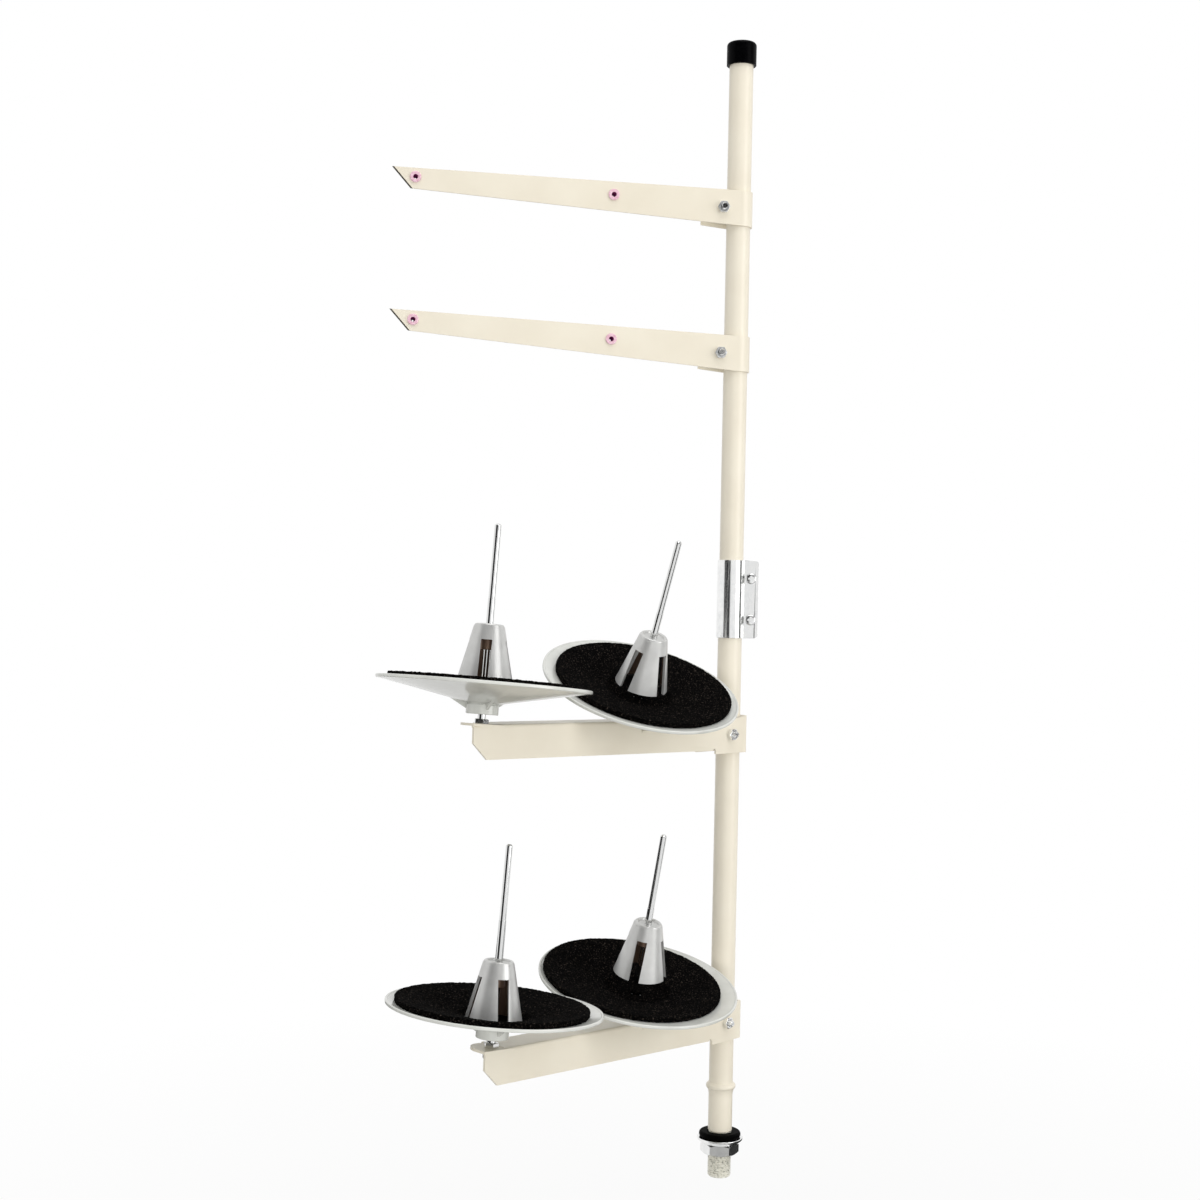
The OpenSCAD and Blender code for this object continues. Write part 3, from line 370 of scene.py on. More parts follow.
def rounded(node, width, segments, finish):
    """A copy of a CAD node with rounded edges, which takes the node's place."""
    piece = bpy.data.objects.new(node + "_dressed", frame["nodes"][node].data.copy())
    bpy.context.scene.collection.objects.link(piece)
    only(piece)
    bpy.ops.object.mode_set(mode="EDIT")
    bpy.ops.mesh.select_all(action="SELECT")
    bpy.ops.mesh.customdata_custom_splitnormals_clear()
    bpy.ops.mesh.remove_doubles(threshold=0.001 * MM)
    bpy.ops.mesh.dissolve_limited(angle_limit=radians(0.3))
    bpy.ops.object.mode_set(mode="OBJECT")
    piece.data.materials.clear()
    piece.data.materials.append(finish)
    piece.data.materials.append(finish)
    bevel = piece.modifiers.new("rounding", "BEVEL")
    bevel.width = width * MM
    bevel.segments = segments
    bevel.limit_method = "ANGLE"
    bevel.angle_limit = radians(30)
    bevel.material = 1
    bpy.ops.object.modifier_apply(modifier="rounding")
    edge = piece.data.attributes.new("edge", "FLOAT", "CORNER")
    for face in piece.data.polygons:
        for corner in face.loop_indices:
            edge.data[corner].value = face.material_index
        face.material_index = 0
    smooth(piece)
    return stand_for(piece, node, finish)


print("rounding tool ready")

# %% [markdown]
# ## Painted and plated sheet
# The arms are cut from sheet and folded, the clamp is rolled round the tubes, and the washer is stamped.
# Each keeps its CAD shape and gets the edge radius of its trade: paint rounds an edge more than plating
# does. A narrow band along the guide arms' slanted tips is coloured dark.

# %% Sheet metal
# Width in mm of the dark band along a guide arm's slanted tip
DARK_TIP_WIDTH = 0.9


def darken_tip(arm):
    """Marks a guide arm's slanted tip, and a narrow strip of the sheet beside it, to be coloured dark."""
    slanted = [face for face in arm.data.polygons if face.normal.x < -0.5 and face.normal.z < -0.4]
    tip = max(slanted, key=lambda face: face.area)
    out, end = tip.normal.copy(), tip.center - tip.normal * DARK_TIP_WIDTH * MM
    only(arm)
    bpy.ops.object.mode_set(mode="EDIT")
    bpy.ops.mesh.select_all(action="SELECT")
    bpy.ops.mesh.bisect(plane_co=end, plane_no=out)
    bpy.ops.object.mode_set(mode="OBJECT")
    dark_tip_band = arm.data.attributes.new("dark_tip_band", "FLOAT", "CORNER")
    for face in arm.data.polygons:
        for corner in face.loop_indices:
            dark_tip_band.data[corner].value = (face.center - end).dot(out) > 0
    smooth(arm)


for node in ("upper_guide_arm", "lower_guide_arm"):
    darken_tip(rounded(node, 0.35, 3, ENAMEL))
for node in ("upper_spool_arm", "lower_spool_arm"):
    rounded(node, 0.4, 3, ENAMEL)
rounded("upper_tube", 0.3, 2, ENAMEL)
rounded("tube_clamp", 0.35, 3, ZINC)
rounded("steel_washer", 0.4, 3, ZINC)
print("rounded 7 pieces of sheet and tube")

# %% [markdown]
# ## Moulded, fired and turned pieces
# The cones come out of a mould with soft edges, and their inner faces are marked for painted shade, dark
# and warm. The eyelets are fired with a flared mouth, so the bevel there is wide, and their bore is marked
# for painted shade. The pins are turned, and get a fine edge.

# %% Cones, eyelets, pins and washers
# Sizes in mm, and the share to which a bore is narrowed at its back
CONE_H, CONE_FOOT_R, CONE_TOP_R, COLLAR_FROM = 34.6, 16.9, 8.9, 30
BORE_WALL_R, BORE_MOUTH_R, BORE_BACK = 1.7, 2.1, 0.4


def shade_cone_inside(cone, station):
    """Gives a cone's inner faces, which lie 1 mm or more within its outer surface, the attribute inside for
    painted shade.
    """
    joint = joint_of[station + "_dish_turn"]
    up, seat = Vector(joint["axis"]), Vector(joint["pos_m"])
    low = min((v.co - seat).dot(up) for v in cone.data.vertices)
    inside = cone.data.attributes.new("inside", "FLOAT", "CORNER")
    taper = (CONE_FOOT_R - CONE_TOP_R) / CONE_H
    for face in cone.data.polygons:
        height = (face.center - seat).dot(up)
        reach = (face.center - seat - up * height).length
        outer = CONE_FOOT_R * MM - (height - low) * taper
        for corner in face.loop_indices:
            inside.data[corner].value = reach < outer - 1 * MM and height - low < COLLAR_FROM * MM


def shade_eyelet_bore(eyelet, node):
    """Narrows the back of an eyelet's bore, and gives the wall of the bore, round Y, the attribute bore for
    painted shade.
    """
    low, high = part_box(node)
    middle = (low + high) / 2
    bore = eyelet.data.attributes.new("bore", "FLOAT", "CORNER")
    for face in eyelet.data.polygons:
        reach = hypot(face.center.x - middle.x, face.center.z - middle.z)
        for corner in face.loop_indices:
            bore.data[corner].value = reach < BORE_WALL_R * MM and abs(face.normal.y) < 0.7
    for v in eyelet.data.vertices:
        off = v.co - middle
        if off.y > 0 and hypot(off.x, off.z) < BORE_MOUTH_R * MM:
            v.co.x = middle.x + off.x * BORE_BACK
            v.co.z = middle.z + off.z * BORE_BACK


for station in STATIONS:
    shade_cone_inside(rounded(station + "_cone", 0.5, 3, CONE_PLASTIC), station)
    rounded(station + "_pin", 0.12, 2, POLISHED)
    rounded(station + "_spring_washer", 0.15, 2, STEEL)
for arm in ("upper_guide", "lower_guide"):
    for side in ("outer", "inner"):
        shade_eyelet_bore(rounded(f"{arm}_{side}_eyelet", 0.5, 4, CERAMIC), f"{arm}_{side}_eyelet")
rounded("end_cap", 0.4, 3, VINYL)
rounded("rubber_washer", 0.3, 2, RUBBER)
print("rounded 18 moulded, fired and turned pieces")

# %% [markdown]
# ## Turning on the lathe
# Round things are drawn as half a section and spun. One vertex is made by merging a plane, it is extruded
# from point to point of the section in the XZ plane, and Spin carries the line once round the Z axis. A
# section that starts and ends on the axis, or ends where it began, makes a closed solid.

# %% Lathe
def drawn(name, points):
    """Draws a line through points, (radius, height) in mm, in the XZ plane, and stays in edit mode."""
    bpy.ops.object.select_all(action="DESELECT")
    bpy.ops.mesh.primitive_plane_add(size=1)
    piece = bpy.context.object
    piece.name = name
    bpy.ops.object.mode_set(mode="EDIT")
    bpy.ops.mesh.merge(type="CENTER")
    bpy.ops.transform.translate(value=Vector((points[0][0], 0, points[0][1])) * MM)
    for a, b in zip(points, points[1:]):
        step = Vector((b[0] - a[0], 0, b[1] - a[1])) * MM
        bpy.ops.mesh.extrude_vertices_move(TRANSFORM_OT_translate={"value": step})
    bpy.ops.mesh.select_all(action="SELECT")
    return piece


def turned(name, section, sides=96):
    """Spins a section into a closed solid about Z."""
    piece = drawn(name, section)
    bpy.ops.mesh.spin(steps=sides, angle=2 * pi, center=(0, 0, 0), axis=(0, 0, 1))
    bpy.ops.mesh.select_all(action="SELECT")
    bpy.ops.mesh.remove_doubles(threshold=0.002 * MM)
    bpy.ops.mesh.normals_make_consistent(inside=False)
    bpy.ops.object.mode_set(mode="OBJECT")
    return piece


def arc(centre_r, centre_h, radius, start, end, steps):
    """Points on an arc of a section, with angles in degrees from the outward direction."""
    angles = [radians(start + (end - start) * i / steps) for i in range(steps + 1)]
    return [(centre_r + radius * cos(a), centre_h + radius * sin(a)) for a in angles]


TUBE_R, BORE_R = 8.0, 6.5
tube_low, tube_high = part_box("lower_tube")
top, shank_end = tube_high.z / MM, tube_low.z / MM
print("lower tube from", round(shank_end, 1), "to", round(top, 1), "mm")

# %% [markdown]
# ## Lower tube with its bead
# A bead is rolled into the tube where it rests on the table. It is an arc of 2.2 mm radius with a small
# flare under it, where the tube was upset. Below the table the paint ends in a small chamfer where the
# thread begins.

# %% Lower tube
THREAD_TOP = -26.4
BEAD_R, BEAD_MID, BEAD_ROUND = 9.9, 3.7, 2.224
bead = arc(BEAD_R - BEAD_ROUND, BEAD_MID, BEAD_ROUND, 76, -60, 16)
flare = [(8.7, 1.5), (8.55, 0.8), (8.3, 0.1), (8.12, -0.8), (8.03, -1.8)]
# Chamfers in mm
EDGE, PAINT_END = 0.4, 0.5
section = [(BORE_R, THREAD_TOP), (BORE_R, top - EDGE), (BORE_R + EDGE, top)]
section += [(TUBE_R - EDGE, top), (TUBE_R, top - EDGE), (TUBE_R, 6.5), (TUBE_R + 0.06, 6.1)]
section += bead + flare + [(TUBE_R, -3.0)]
section += [(TUBE_R, THREAD_TOP + PAINT_END), (TUBE_R - PAINT_END, THREAD_TOP), (BORE_R, THREAD_TOP)]
lower_tube = turned("lower_tube_dressed", section)
smooth(lower_tube)
stand_for(lower_tube, "lower_tube", ENAMEL)
print("turned the lower tube:", len(lower_tube.data.polygons), "faces")

# %% [markdown]
# ## Threads
# A thread is one tooth that goes round and up at once. The Screw modifier makes such a helix too, but
# leaves it with open and ragged ends, and a boolean on an open shape isn't reliable. So the rod's points
# are laid out in code, in columns, each a little further round and a little higher than the one before, and
# the last column meets the first one a turn higher up. Points past an end are held level with it, and the
# radius keeps within a chamfer, as a die leaves it. Bores and slots are cut with booleans.

# %% Threaded rod
def cut(piece, tool, how):
    """Joins, cuts or keeps the common part of a piece and a second shape, which is used up."""
    boolean = piece.modifiers.new("cut", "BOOLEAN")
    boolean.operation = how
    boolean.object = tool
    only(piece)
    bpy.ops.object.modifier_apply(modifier="cut")
    bpy.data.objects.remove(tool)


def threaded(name, outside, length, pitch, chamfer, steps=40):
    """A threaded rod that stands on z = 0, with sizes in mm. Its rows of vertices climb with the thread."""
    root = outside - 0.42 * pitch
    # Share of the pitch and radius
    tooth = [(0, root), (0.1, root), (0.36, outside), (0.64, outside), (0.9, root)]
    rows = [(turn + share, r) for turn in range(-1, int(length / pitch) + 2) for share, r in tooth]
    last = len(rows) - 1
    points = []
    for i in range(steps):
        angle = radians(360 * i / steps)
        for climb, r in rows:
            z = min(max((climb + i / steps) * pitch, 0), length)
            r = min(r, outside - chamfer + min(z, length - z))
            points.append((r * cos(angle) * MM, r * sin(angle) * MM, z * MM))
    starts = [i * len(rows) for i in range(steps)]
    faces = [starts[::-1], [start + last for start in starts]]
    for i in range(steps):
        here, there = starts[i], starts[(i + 1) % steps]
        # The last column meets the first one a turn higher up
        shift = len(tooth) if i + 1 == steps else 0
        for k in range(last):
            low, high = min(k + shift, last), min(k + 1 + shift, last)
            faces.append((here + k, there + low, there + high, here + k + 1))
    mesh = bpy.data.meshes.new(name)
    mesh.from_pydata(points, [], faces)
    rod = bpy.data.objects.new(name, mesh)
    bpy.context.scene.collection.objects.link(rod)
    only(rod)
    bpy.ops.object.mode_set(mode="EDIT")
    bpy.ops.mesh.select_all(action="SELECT")
    bpy.ops.mesh.remove_doubles(threshold=0.001 * MM)
    bpy.ops.object.mode_set(mode="OBJECT")
    return rod


SHANK_R, SHANK_PITCH, SHANK_CHAMFER = 7.7, 1.25, 0.9
shank_length = THREAD_TOP - shank_end
shank_thread = threaded("shank_thread", SHANK_R, shank_length, SHANK_PITCH, SHANK_CHAMFER, steps=64)
cut(shank_thread, turned("bore", [(0, -1), (BORE_R, -1), (BORE_R, 40), (0, 40)]), "DIFFERENCE")
shank_thread.data.transform(Matrix.Translation((0, 0, shank_end * MM)))
smooth(shank_thread)
stand_for(shank_thread, "lower_tube", SPRAYED)
print("cut the shank's thread:", len(shank_thread.data.polygons), "faces")

# %% [markdown]
# ## Where a fastener stands
# Nuts and screws are modelled once, upright at the origin, and copied. This function reads from a CAD
# node's own mesh where the copy goes: the middle of its outline across a given axis, its low end along that
# axis, and the direction of its farthest corner, so that a nut's corners come where they were.

# %% Find a fastener's place
def place_of(node, axis, part=None):
    """Matrix from an upright fastener to its node's place, and the node's length along the axis in mm."""
    up = Vector(axis).normalized()
    across = up.orthogonal().normalized()
    third = up.cross(across)
    points = [v.co for v in frame["nodes"][node].data.vertices if part is None or part(v.co)]
    spans = [[p.dot(d) for p in points] for d in (across, third, up)]
    a, b = ((min(s) + max(s)) / 2 for s in spans[:2])
    low = min(spans[2])
    foot = across * a + third * b + up * low
    corner = max((p - foot - up * (p - foot).dot(up) for p in points), key=lambda d: d.length).normalized()
    turn = Matrix((corner, up.cross(corner), up)).transposed().to_4x4()
    return Matrix.Translation(foot) @ turn, (max(spans[2]) - low) / MM


def copy_to(model, name, matrix):
    """A copy of a model with its own mesh, moved in the mesh."""
    piece = bpy.data.objects.new(name, model.data.copy())
    bpy.context.scene.collection.objects.link(piece)
    piece.data.transform(matrix)
    return piece


# Turns in degrees, and sizes in mm: a nut's are across its flats, its height and its bore's radius
SPOOL_TURNS = {"upper_spool": 36.3, "lower_spool": 39.9}
CLAMP_TURN = -12
M4_R, M4_PITCH, M4_CHAMFER = 2.0, 0.7, 0.35
M4_NUT = (7.0, 3.2, 2.02)


def arm_front(degrees):
    """Direction out of an arm's front plate, for an arm turned by so many degrees."""
    return (sin(radians(degrees)), -cos(radians(degrees)), 0)


def station_axis(station):
    """Direction of a station's pin."""
    return joint_of[station + "_dish_turn"]["axis"]


front = arm_front(SPOOL_TURNS["upper_spool"])
print("upper spool screws point along", [round(x, 3) for x in front])

# %% [markdown]
# ## Nuts
# A nut starts as a length of hexagon bar. Its corners are turned off at 30 degrees on both sides, which
# leaves the rounded shoulders that a plain hexagon lacks. That is the common part of the hexagon and a
# chamfered blank. The bore is countersunk.

# %% Nuts
def hex_nut(name, across, height, bore):
    """Hex nut that stands on z = 0 with a corner on the X axis, sizes in mm."""
    corner = across / sqrt(3)
    # The blank is a little wider than the corners, and its faces are 95 % as wide as the flats are apart
    side = corner * 1.02
    face_r = across * 0.475
    # A rise at 30 degrees
    rise = (side - face_r) * 0.577
    bpy.ops.object.select_all(action="DESELECT")
    bpy.ops.mesh.primitive_cylinder_add(
        vertices=6,
        radius=corner * MM,
        depth=height * MM,
        location=(0, 0, height / 2 * MM),
        rotation=(0, 0, radians(30)),
    )
    nut = bpy.context.object
    nut.name = name
    bpy.ops.object.transform_apply()
    blank = [(0, 0), (face_r, 0), (side, rise), (side, height - rise), (face_r, height), (0, height)]
    cut(nut, turned("blank", blank), "INTERSECT")
    # A larger bore has a slightly deeper countersink
    sink = 0.35 + bore * 0.04
    wide = bore + sink + 1
    hole = [(0, -1), (wide, -1), (bore, sink), (bore, height - sink), (wide, height + 1), (0, height + 1)]
    cut(nut, turned("hole", hole, 64), "DIFFERENCE")
    smooth(nut)
    return nut


def put_nuts(model, finish, places):
    """Copies a nut to each (node, axis) and uses the model up."""
    for node, axis in places:
        matrix = place_of(node, axis)[0]
        stand_for(copy_to(model, node + "_dressed", matrix), node, finish)
    bpy.data.objects.remove(model)


put_nuts(hex_nut("big_nut", 22.3, 7.4, 7.75), ZINC, [("table_nut", (0, 0, 1))])
guide_nuts = [(arm + "_nut", arm_front(0)) for arm in ("upper_guide", "lower_guide")]
put_nuts(hex_nut("guide_nut", *M4_NUT), STEEL, guide_nuts)
set_nuts = [(arm + "_set_screw_nut", arm_front(degrees)) for arm, degrees in SPOOL_TURNS.items()]
put_nuts(hex_nut("set_nut", *M4_NUT), ZINC, set_nuts)
put_nuts(hex_nut("seat_nut", 8.0, 3.0, 2.52), ZINC, [(s + "_seat_nut", station_axis(s)) for s in STATIONS])
put_nuts(hex_nut("lock_nut", 8.0, 4.0, 2.52), ZINC, [(s + "_lock_nut", station_axis(s)) for s in STATIONS])
print("made 13 nuts")

# %% [markdown]
# ## Screws
# A screw is a threaded rod with a pan head on top. The head is turned with a domed edge, and two crossed
# slots make its driver recess. A set screw has no head, only a slot across its end.

# %% Screws
def slot_cut(piece, width, length, height, deep, turn):
    """Cuts a straight slot down into the top of a piece at a height, turned about Z."""
    bpy.ops.object.select_all(action="DESELECT")
    # The tool stands 1 mm proud of the top
    middle = (0, 0, (height - deep / 2 + 0.5) * MM)
    bpy.ops.mesh.primitive_cube_add(size=1, location=middle, rotation=(0, 0, radians(turn)))
    tool = bpy.context.object
    tool.scale = (length * MM, width * MM, (deep + 1) * MM)
    bpy.ops.object.transform_apply()
    cut(piece, tool, "DIFFERENCE")


# Sizes of a pan head in mm
HEAD_R, HEAD_H, DOME = 3.6, 2.6, 1.4


def pan_screw(name, length):
    """M4 screw: its tip is at z = 0 and its head's underside at the given length in mm."""
    rod = threaded(name, M4_R, length + 0.2, M4_PITCH, M4_CHAMFER, steps=28)
    head = [(0, length), (HEAD_R - 0.1, length), (HEAD_R, length + 0.1)]
    head += arc(HEAD_R - DOME, length + HEAD_H - DOME, DOME, 0, 80, 6) + [(0, length + HEAD_H)]
    cut(rod, turned("head", head, 64), "UNION")
    for turn in (20, 110):
        slot_cut(rod, 0.9, 3.8, length + HEAD_H, 1.3, turn)
    smooth(rod)
    return rod


clamp_middle = (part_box("tube_clamp")[0].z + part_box("tube_clamp")[1].z) / 2
halves = {"upper": lambda p: p.z > clamp_middle, "lower": lambda p: p.z <= clamp_middle}
clamp_nut = hex_nut("clamp_nut", *M4_NUT)
for side, part in halves.items():
    matrix, length = place_of("tube_clamp_screws", arm_front(CLAMP_TURN), part)
    screw = copy_to(pan_screw("clamp_screw", length - HEAD_H), f"tube_clamp_{side}_screw", matrix)
    stand_for(screw, "tube_clamp_screws", ZINC)
    matrix = place_of("tube_clamp_nuts", arm_front(CLAMP_TURN), part)[0]
    stand_for(copy_to(clamp_nut, f"tube_clamp_{side}_nut", matrix), "tube_clamp_nuts", ZINC)
    bpy.data.objects.remove(bpy.data.objects["clamp_screw"])
bpy.data.objects.remove(clamp_nut)

for arm in ("upper_guide", "lower_guide"):
    matrix, length = place_of(arm + "_screw", (0, 1, 0))
    model = pan_screw("guide_screw", length - HEAD_H)
    stand_for(copy_to(model, arm + "_screw_dressed", matrix), arm + "_screw", ZINC)
    bpy.data.objects.remove(model)

for arm, degrees in SPOOL_TURNS.items():
    matrix, length = place_of(arm + "_set_screw", arm_front(degrees))
    model = threaded("set_screw", M4_R, length, M4_PITCH, M4_CHAMFER, steps=28)
    slot_cut(model, 0.7, 6.0, length, 0.9, 60)
    smooth(model)
    stand_for(copy_to(model, arm + "_set_screw_dressed", matrix), arm + "_set_screw", ZINC)
    bpy.data.objects.remove(model)
print("made 4 pan-head screws, 2 set screws and the clamp's nuts")

# %% [markdown]
# ## Dishes
# A dish is turned: a hub that stands on the pin's shoulder, a shallow cone, and a rim with a rounded edge.
# Three ribs brace the hub. A rib is drawn as a closed line, filled, extruded and joined to the dish. The
# ribs of the CAD dish run out 19.8 mm from the pin, and show how each dish is turned.

# %% Dishes
# Rise of the dish per mm of radius, and sizes in mm
SLOPE = 0.19813
RIB, RIB_THICK = [(7.4, 2.8), (9.7, 2.8), (22, 9.57), (7.4, 7.0)], 1.6
SHOULDER, RIB_END = 5.6, 19.8
HUB_TOP, FLAT_R = 7.8, 9.0


def inside_height(r):
    """Height of a dish's inner face above the pin's shoulder, in mm."""
    return HUB_TOP + max(r - FLAT_R, 0) * SLOPE


def rib(points, thick):
    """Flat rib of a closed line of points in mm, centred on the XZ plane."""
    piece = drawn("rib", points)
    bpy.ops.mesh.edge_face_add()
    bpy.ops.mesh.extrude_region_move(TRANSFORM_OT_translate={"value": (0, thick * MM, 0)})
    bpy.ops.mesh.select_all(action="SELECT")
    bpy.ops.mesh.normals_make_consistent(inside=False)
    bpy.ops.transform.translate(value=(0, -thick / 2 * MM, 0))
    bpy.ops.object.mode_set(mode="OBJECT")
    return piece


def dish_place(station):
    """Matrix from a dish that stands on z = 0, with a rib along X, to its place on the pin's shoulder."""
    joint = joint_of[station + "_dish_turn"]
    up = Vector(joint["axis"])
    seat = Vector(joint["pos_m"]) + up * SHOULDER * MM
    arms = [v.co - seat for v in frame["nodes"][station + "_dish"].data.vertices]
    flats = [arm - up * arm.dot(up) for arm in arms]
    ends = [flat for flat in flats if abs(flat.length - RIB_END * MM) < 0.6 * MM]
    way = sum((end for end in ends if end.dot(ends[0]) > 0), Vector()).normalized()
    return Matrix.Translation(seat) @ Matrix((way, up.cross(way), up)).transposed().to_4x4()


section = [(2.3, 0.3), (2.6, 0)] + arc(9.2, 0.5, 0.5, -90, 0, 4) + arc(9.4, 5.3, 0.3, 0, 90, 3)
section += [(9.15, 5.62), (9.02, 5.8), (9.02, 6.05), (9.2, 6.24), (62.3, 16.76), (62.6, 16.8)]
section += arc(63.45, 17.35, 0.55, -90, 0, 5) + arc(63.45, 18.25, 0.55, 0, 90, 5)
section += [(62.9, 18.78), (62.65, 18.66), (62.4, 18.38), (9.6, inside_height(9.6))]
section += [(8.6, HUB_TOP), (2.6, HUB_TOP), (2.3, HUB_TOP - 0.3)]
dish = turned("dish", section + [section[0]], 192)
for i in range(3):
    brace = rib(RIB, RIB_THICK)
    brace.data.transform(Matrix.Rotation(radians(120 * i), 4, "Z"))
    cut(dish, brace, "UNION")
smooth(dish)
for station in STATIONS:
    stand_for(copy_to(dish, station + "_dish_dressed", dish_place(station)), station + "_dish", DISH_PLASTIC)
print("turned 4 dishes of", len(dish.data.polygons), "faces")
bpy.data.objects.remove(dish)

# %% [markdown]
# ## Foam pads
# Each dish is lined with a disc of black foam, 3.5 mm thick, that lies on the dish's cone and is pressed
# thin under the spool cone's foot. The disc is turned from a fine section, so that the Displace modifier
# has enough points to make its skin as uneven as cut foam is. Three of the pads don't lie quite in the
# middle of their dish.

# %% Foam pads
# Sizes in mm: of the pad, of its pressed middle, and of the part that stays when it is slid
PAD_R, PAD_HOLE_R, PAD_THICK, PAD_EDGE = 57.25, 4.0, 3.45, 0.9
PRESSED_TO, PRESSED_R, PRESSED_SLOPE = 10.35, 18.1, 3.6
HELD_R, FREE_R = 20, 57


def foam_section():
    """Section of a pad above the pin's shoulder, in mm: under side, cut edge, top, and the pressed middle."""
    def lies(r):
        return inside_height(r) + 0.25

    flat_r = PAD_R - PAD_EDGE
    under = [PAD_HOLE_R + i * (flat_r - PAD_HOLE_R) / 24 for i in range(25)]
    under = [(r, lies(r)) for r in under]
    low, high = lies(flat_r), lies(flat_r) + PAD_THICK
    rim = arc(flat_r, low + PAD_EDGE, PAD_EDGE, -70, 0, 3) + arc(flat_r, high - PAD_EDGE, PAD_EDGE, 0, 80, 4)
    top = []
    steps = 60
    for i in range(steps + 1):
        r = flat_r - i * (flat_r - PAD_HOLE_R) / steps
        t = min(max((r - PRESSED_R) / PRESSED_SLOPE, 0), 1)
        rise = t * t * (3 - 2 * t)
        top.append((r, PRESSED_TO + (lies(r) + PAD_THICK - PRESSED_TO) * rise))
    return under + rim + top + [under[0]]


def slide(pad, push):
    """Slides a pad's outline over its dish by a push in metres, while its middle stays on the pin."""
    for v in pad.data.vertices:
        reach = hypot(v.co.x, v.co.y)
        share = min(max((reach / MM - HELD_R) / (FREE_R - HELD_R), 0), 1)
        v.co.x += push.x * share
        v.co.y += push.y * share
        v.co.z += (hypot(v.co.x, v.co.y) - reach) * SLOPE


foam = turned("foam_pad", foam_section(), 420)
cells = bpy.data.textures.new("foam_cells", "CLOUDS")
cells.noise_scale = 1.3 * MM
cells.noise_depth = 2
rough = foam.modifiers.new("cells", "DISPLACE")
rough.texture = cells
rough.texture_coords = "LOCAL"
rough.strength = 1.0 * MM
rough.mid_level = 0.6
only(foam)
bpy.ops.object.modifier_apply(modifier="cells")
bpy.ops.object.shade_smooth()
pushes = {"upper_inner": (1.6, 0), "lower_outer": (-1.4, 0), "lower_inner": (-4, 1)}
for i, station in enumerate(STATIONS):
    place = dish_place(station)
    pad = copy_to(foam, station + "_foam", Matrix.Rotation(radians(70 * i), 4, "Z"))
    slide(pad, place.to_3x3().inverted() @ Vector((*pushes.get(station, (0, 0)), 0)) * MM)
    pad.data.transform(place)
    stand_for(pad, station + "_foam_pad", FOAM)
bpy.data.objects.remove(foam)
print("made 4 foam pads of", len(pad.data.polygons), "faces")

# %% [markdown]
# ## Floor, background and light
# The photograph is a cut-out on white. A pale floor, low enough for the nut to come off the shank above it,
# keeps the stand's soft shadow and fades to white further out, and the world looks white to the camera and
# in reflections. A large soft lamp stands at the right of the camera and another above. Cards that only
# reflections see give the bright metal its dark parts: a wide screen on the left and a narrow one on the
# right for the upright pins and the clamp, two low cards for the pins that lean forward, a grey one above
# the camera for the cones, and two more for the faces of the big nut.

# %% Floor and world
# Height in mm, and how white the floor is near the stand
FLOOR_Z, WHITE_NEAR = -146, 0.93
bpy.ops.object.select_all(action="DESELECT")
bpy.ops.mesh.primitive_plane_add(size=24, location=(0, 0, FLOOR_Z * MM))
floor = bpy.context.object
floor.name = "floor"


def seen_directly(tree):
    """1 for rays from the camera, a mirror or glass, else 0."""
    path = add(tree, "LightPath").outputs
    seen = path["Is Camera Ray"]
    for ray in ("Is Glossy Ray", "Is Transmission Ray"):
        seen = add(tree, "Math", {0: seen, 1: path[ray]}, operation="MAXIMUM").outputs[0]
    return seen


pale, tree, shader = new_finish("pale_floor", Base_Color=linear("#ACABA8"), Roughness=0.9)
white = add(tree, "Emission", {"Color": (1, 1, 1, 1), "Strength": 1.0})
# From 0.25 m to 0.9 m away the floor fades to white
place = add(tree, "TexCoord").outputs["Object"]
away = add(tree, "VectorMath", {0: place}, operation="LENGTH").outputs["Value"]
fading = {"Value": away, "From Min": 0.25, "From Max": 0.9, "To Min": WHITE_NEAR, "To Max": 1.0}
fade = add(tree, "MapRange", fading)
share = add(tree, "Math", {0: fade.outputs[0], 1: seen_directly(tree)}, operation="MULTIPLY")
both = add(tree, "MixShader", {0: share.outputs[0], 1: shader.outputs[0], 2: white.outputs[0]})
tree.links.new(both.outputs[0], tree.nodes["Material Output"].inputs["Surface"])
floor.data.materials.append(pale)

AMBIENT = 0.72
world = bpy.data.worlds.new("white_room")
world.use_nodes = True
bpy.context.scene.world = world
tree = world.node_tree
sky = tree.nodes["Background"]
sky.inputs["Color"].default_value = (1, 1, 1, 1)
level = add(tree, "MapRange", {"Value": seen_directly(tree), "To Min": AMBIENT, "To Max": 1.0})
tree.links.new(level.outputs[0], sky.inputs["Strength"])
print("floor at", round(floor.location.z / MM, 1), "mm, ambient light", AMBIENT)

# %% Lamps and cards
STAND_MIDDLE = Vector((-0.05, 0, 0.3))


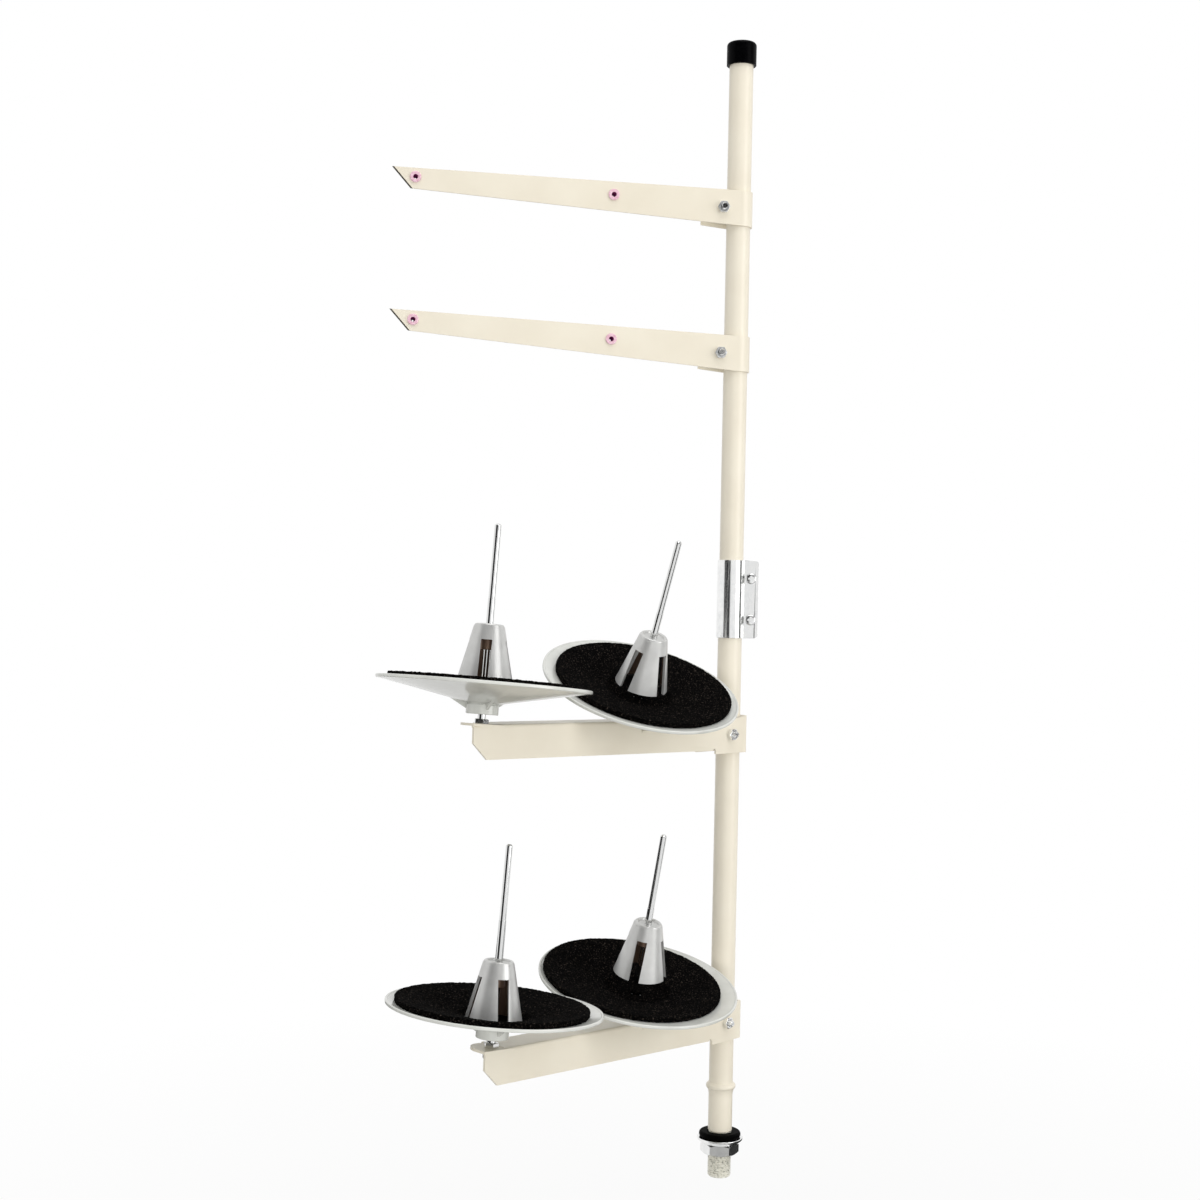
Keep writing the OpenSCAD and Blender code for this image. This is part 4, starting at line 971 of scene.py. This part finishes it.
def soft_lamp(name, place, size, watts):
    """Area lamp of a size in metres that points at the stand's middle."""
    bpy.ops.object.light_add(type="AREA", location=place)
    lamp = bpy.context.object
    lamp.name = name
    lamp.data.shape = "RECTANGLE"
    lamp.data.size, lamp.data.size_y = size
    lamp.data.energy = watts
    lamp.rotation_euler = (STAND_MIDDLE - Vector(place)).to_track_quat("-Z", "Y").to_euler()
    return lamp


soft_lamp("right_softbox", (1.5, -1.2, 0.45), (1.1, 1.5), 12.5)
soft_lamp("top_softbox", (0.1, -0.6, 1.9), (1.2, 1.2), 9)
soft_lamp("front_fill", (-0.4, -2.1, 0.0), (1.8, 0.9), 22.5).visible_glossy = False
soft_lamp("back_fill", (-0.1, 2.2, 0.4), (1.8, 1.2), 18).visible_glossy = False


def card(name, centre, facing, size, colour):
    """Matt card of a size in metres, which only reflections see."""
    bpy.ops.object.select_all(action="DESELECT")
    bpy.ops.mesh.primitive_plane_add(size=1, location=centre)
    piece = bpy.context.object
    piece.name = name
    piece.scale = (*size, 1)
    piece.rotation_euler = Vector(facing).to_track_quat("Z", "Y").to_euler()
    piece.visible_camera = piece.visible_diffuse = False
    piece.visible_shadow = piece.visible_transmission = False
    piece.data.materials.append(new_finish(name + "_matt", Base_Color=linear(colour), Roughness=1.0)[0])


SCREEN_AWAY, SCREEN_UP, SCREEN_H = 1.55, Vector((0, 0, 1.3)), 4.4
screens = (("left_screen", -133, 1.5, "#2A2A2B"), ("right_screen", -16, 0.6, "#565656"))
for name, degrees, width, colour in screens:
    out = Vector((cos(radians(degrees)), sin(radians(degrees)), 0))
    card(name, out * SCREEN_AWAY + SCREEN_UP, -out, (width, SCREEN_H), colour)
card("upper_screen", (-0.1, -1.6, 1.25), (0.05, 1.6, -0.95), (2.6, 1.3), "#1C1C1C")
low_z = (shank_end + 0.2) * MM
card("low_left_card", (-1.05, 0.1, low_z), (0, 0, 1), (1.3, 1.7), "#222223")
card("low_right_card", (0.54, -0.18, low_z), (0, 0, 1), (0.42, 0.3), "#3A3A3A")
card("nut_right_card", (0.16, 0.04, low_z), (0, 0, 1), (0.29, 0.26), "#050505")
card("nut_front_card", (-0.02, -0.13, low_z), (0, 0, 1), (0.12, 0.2), "#B5B5B5")
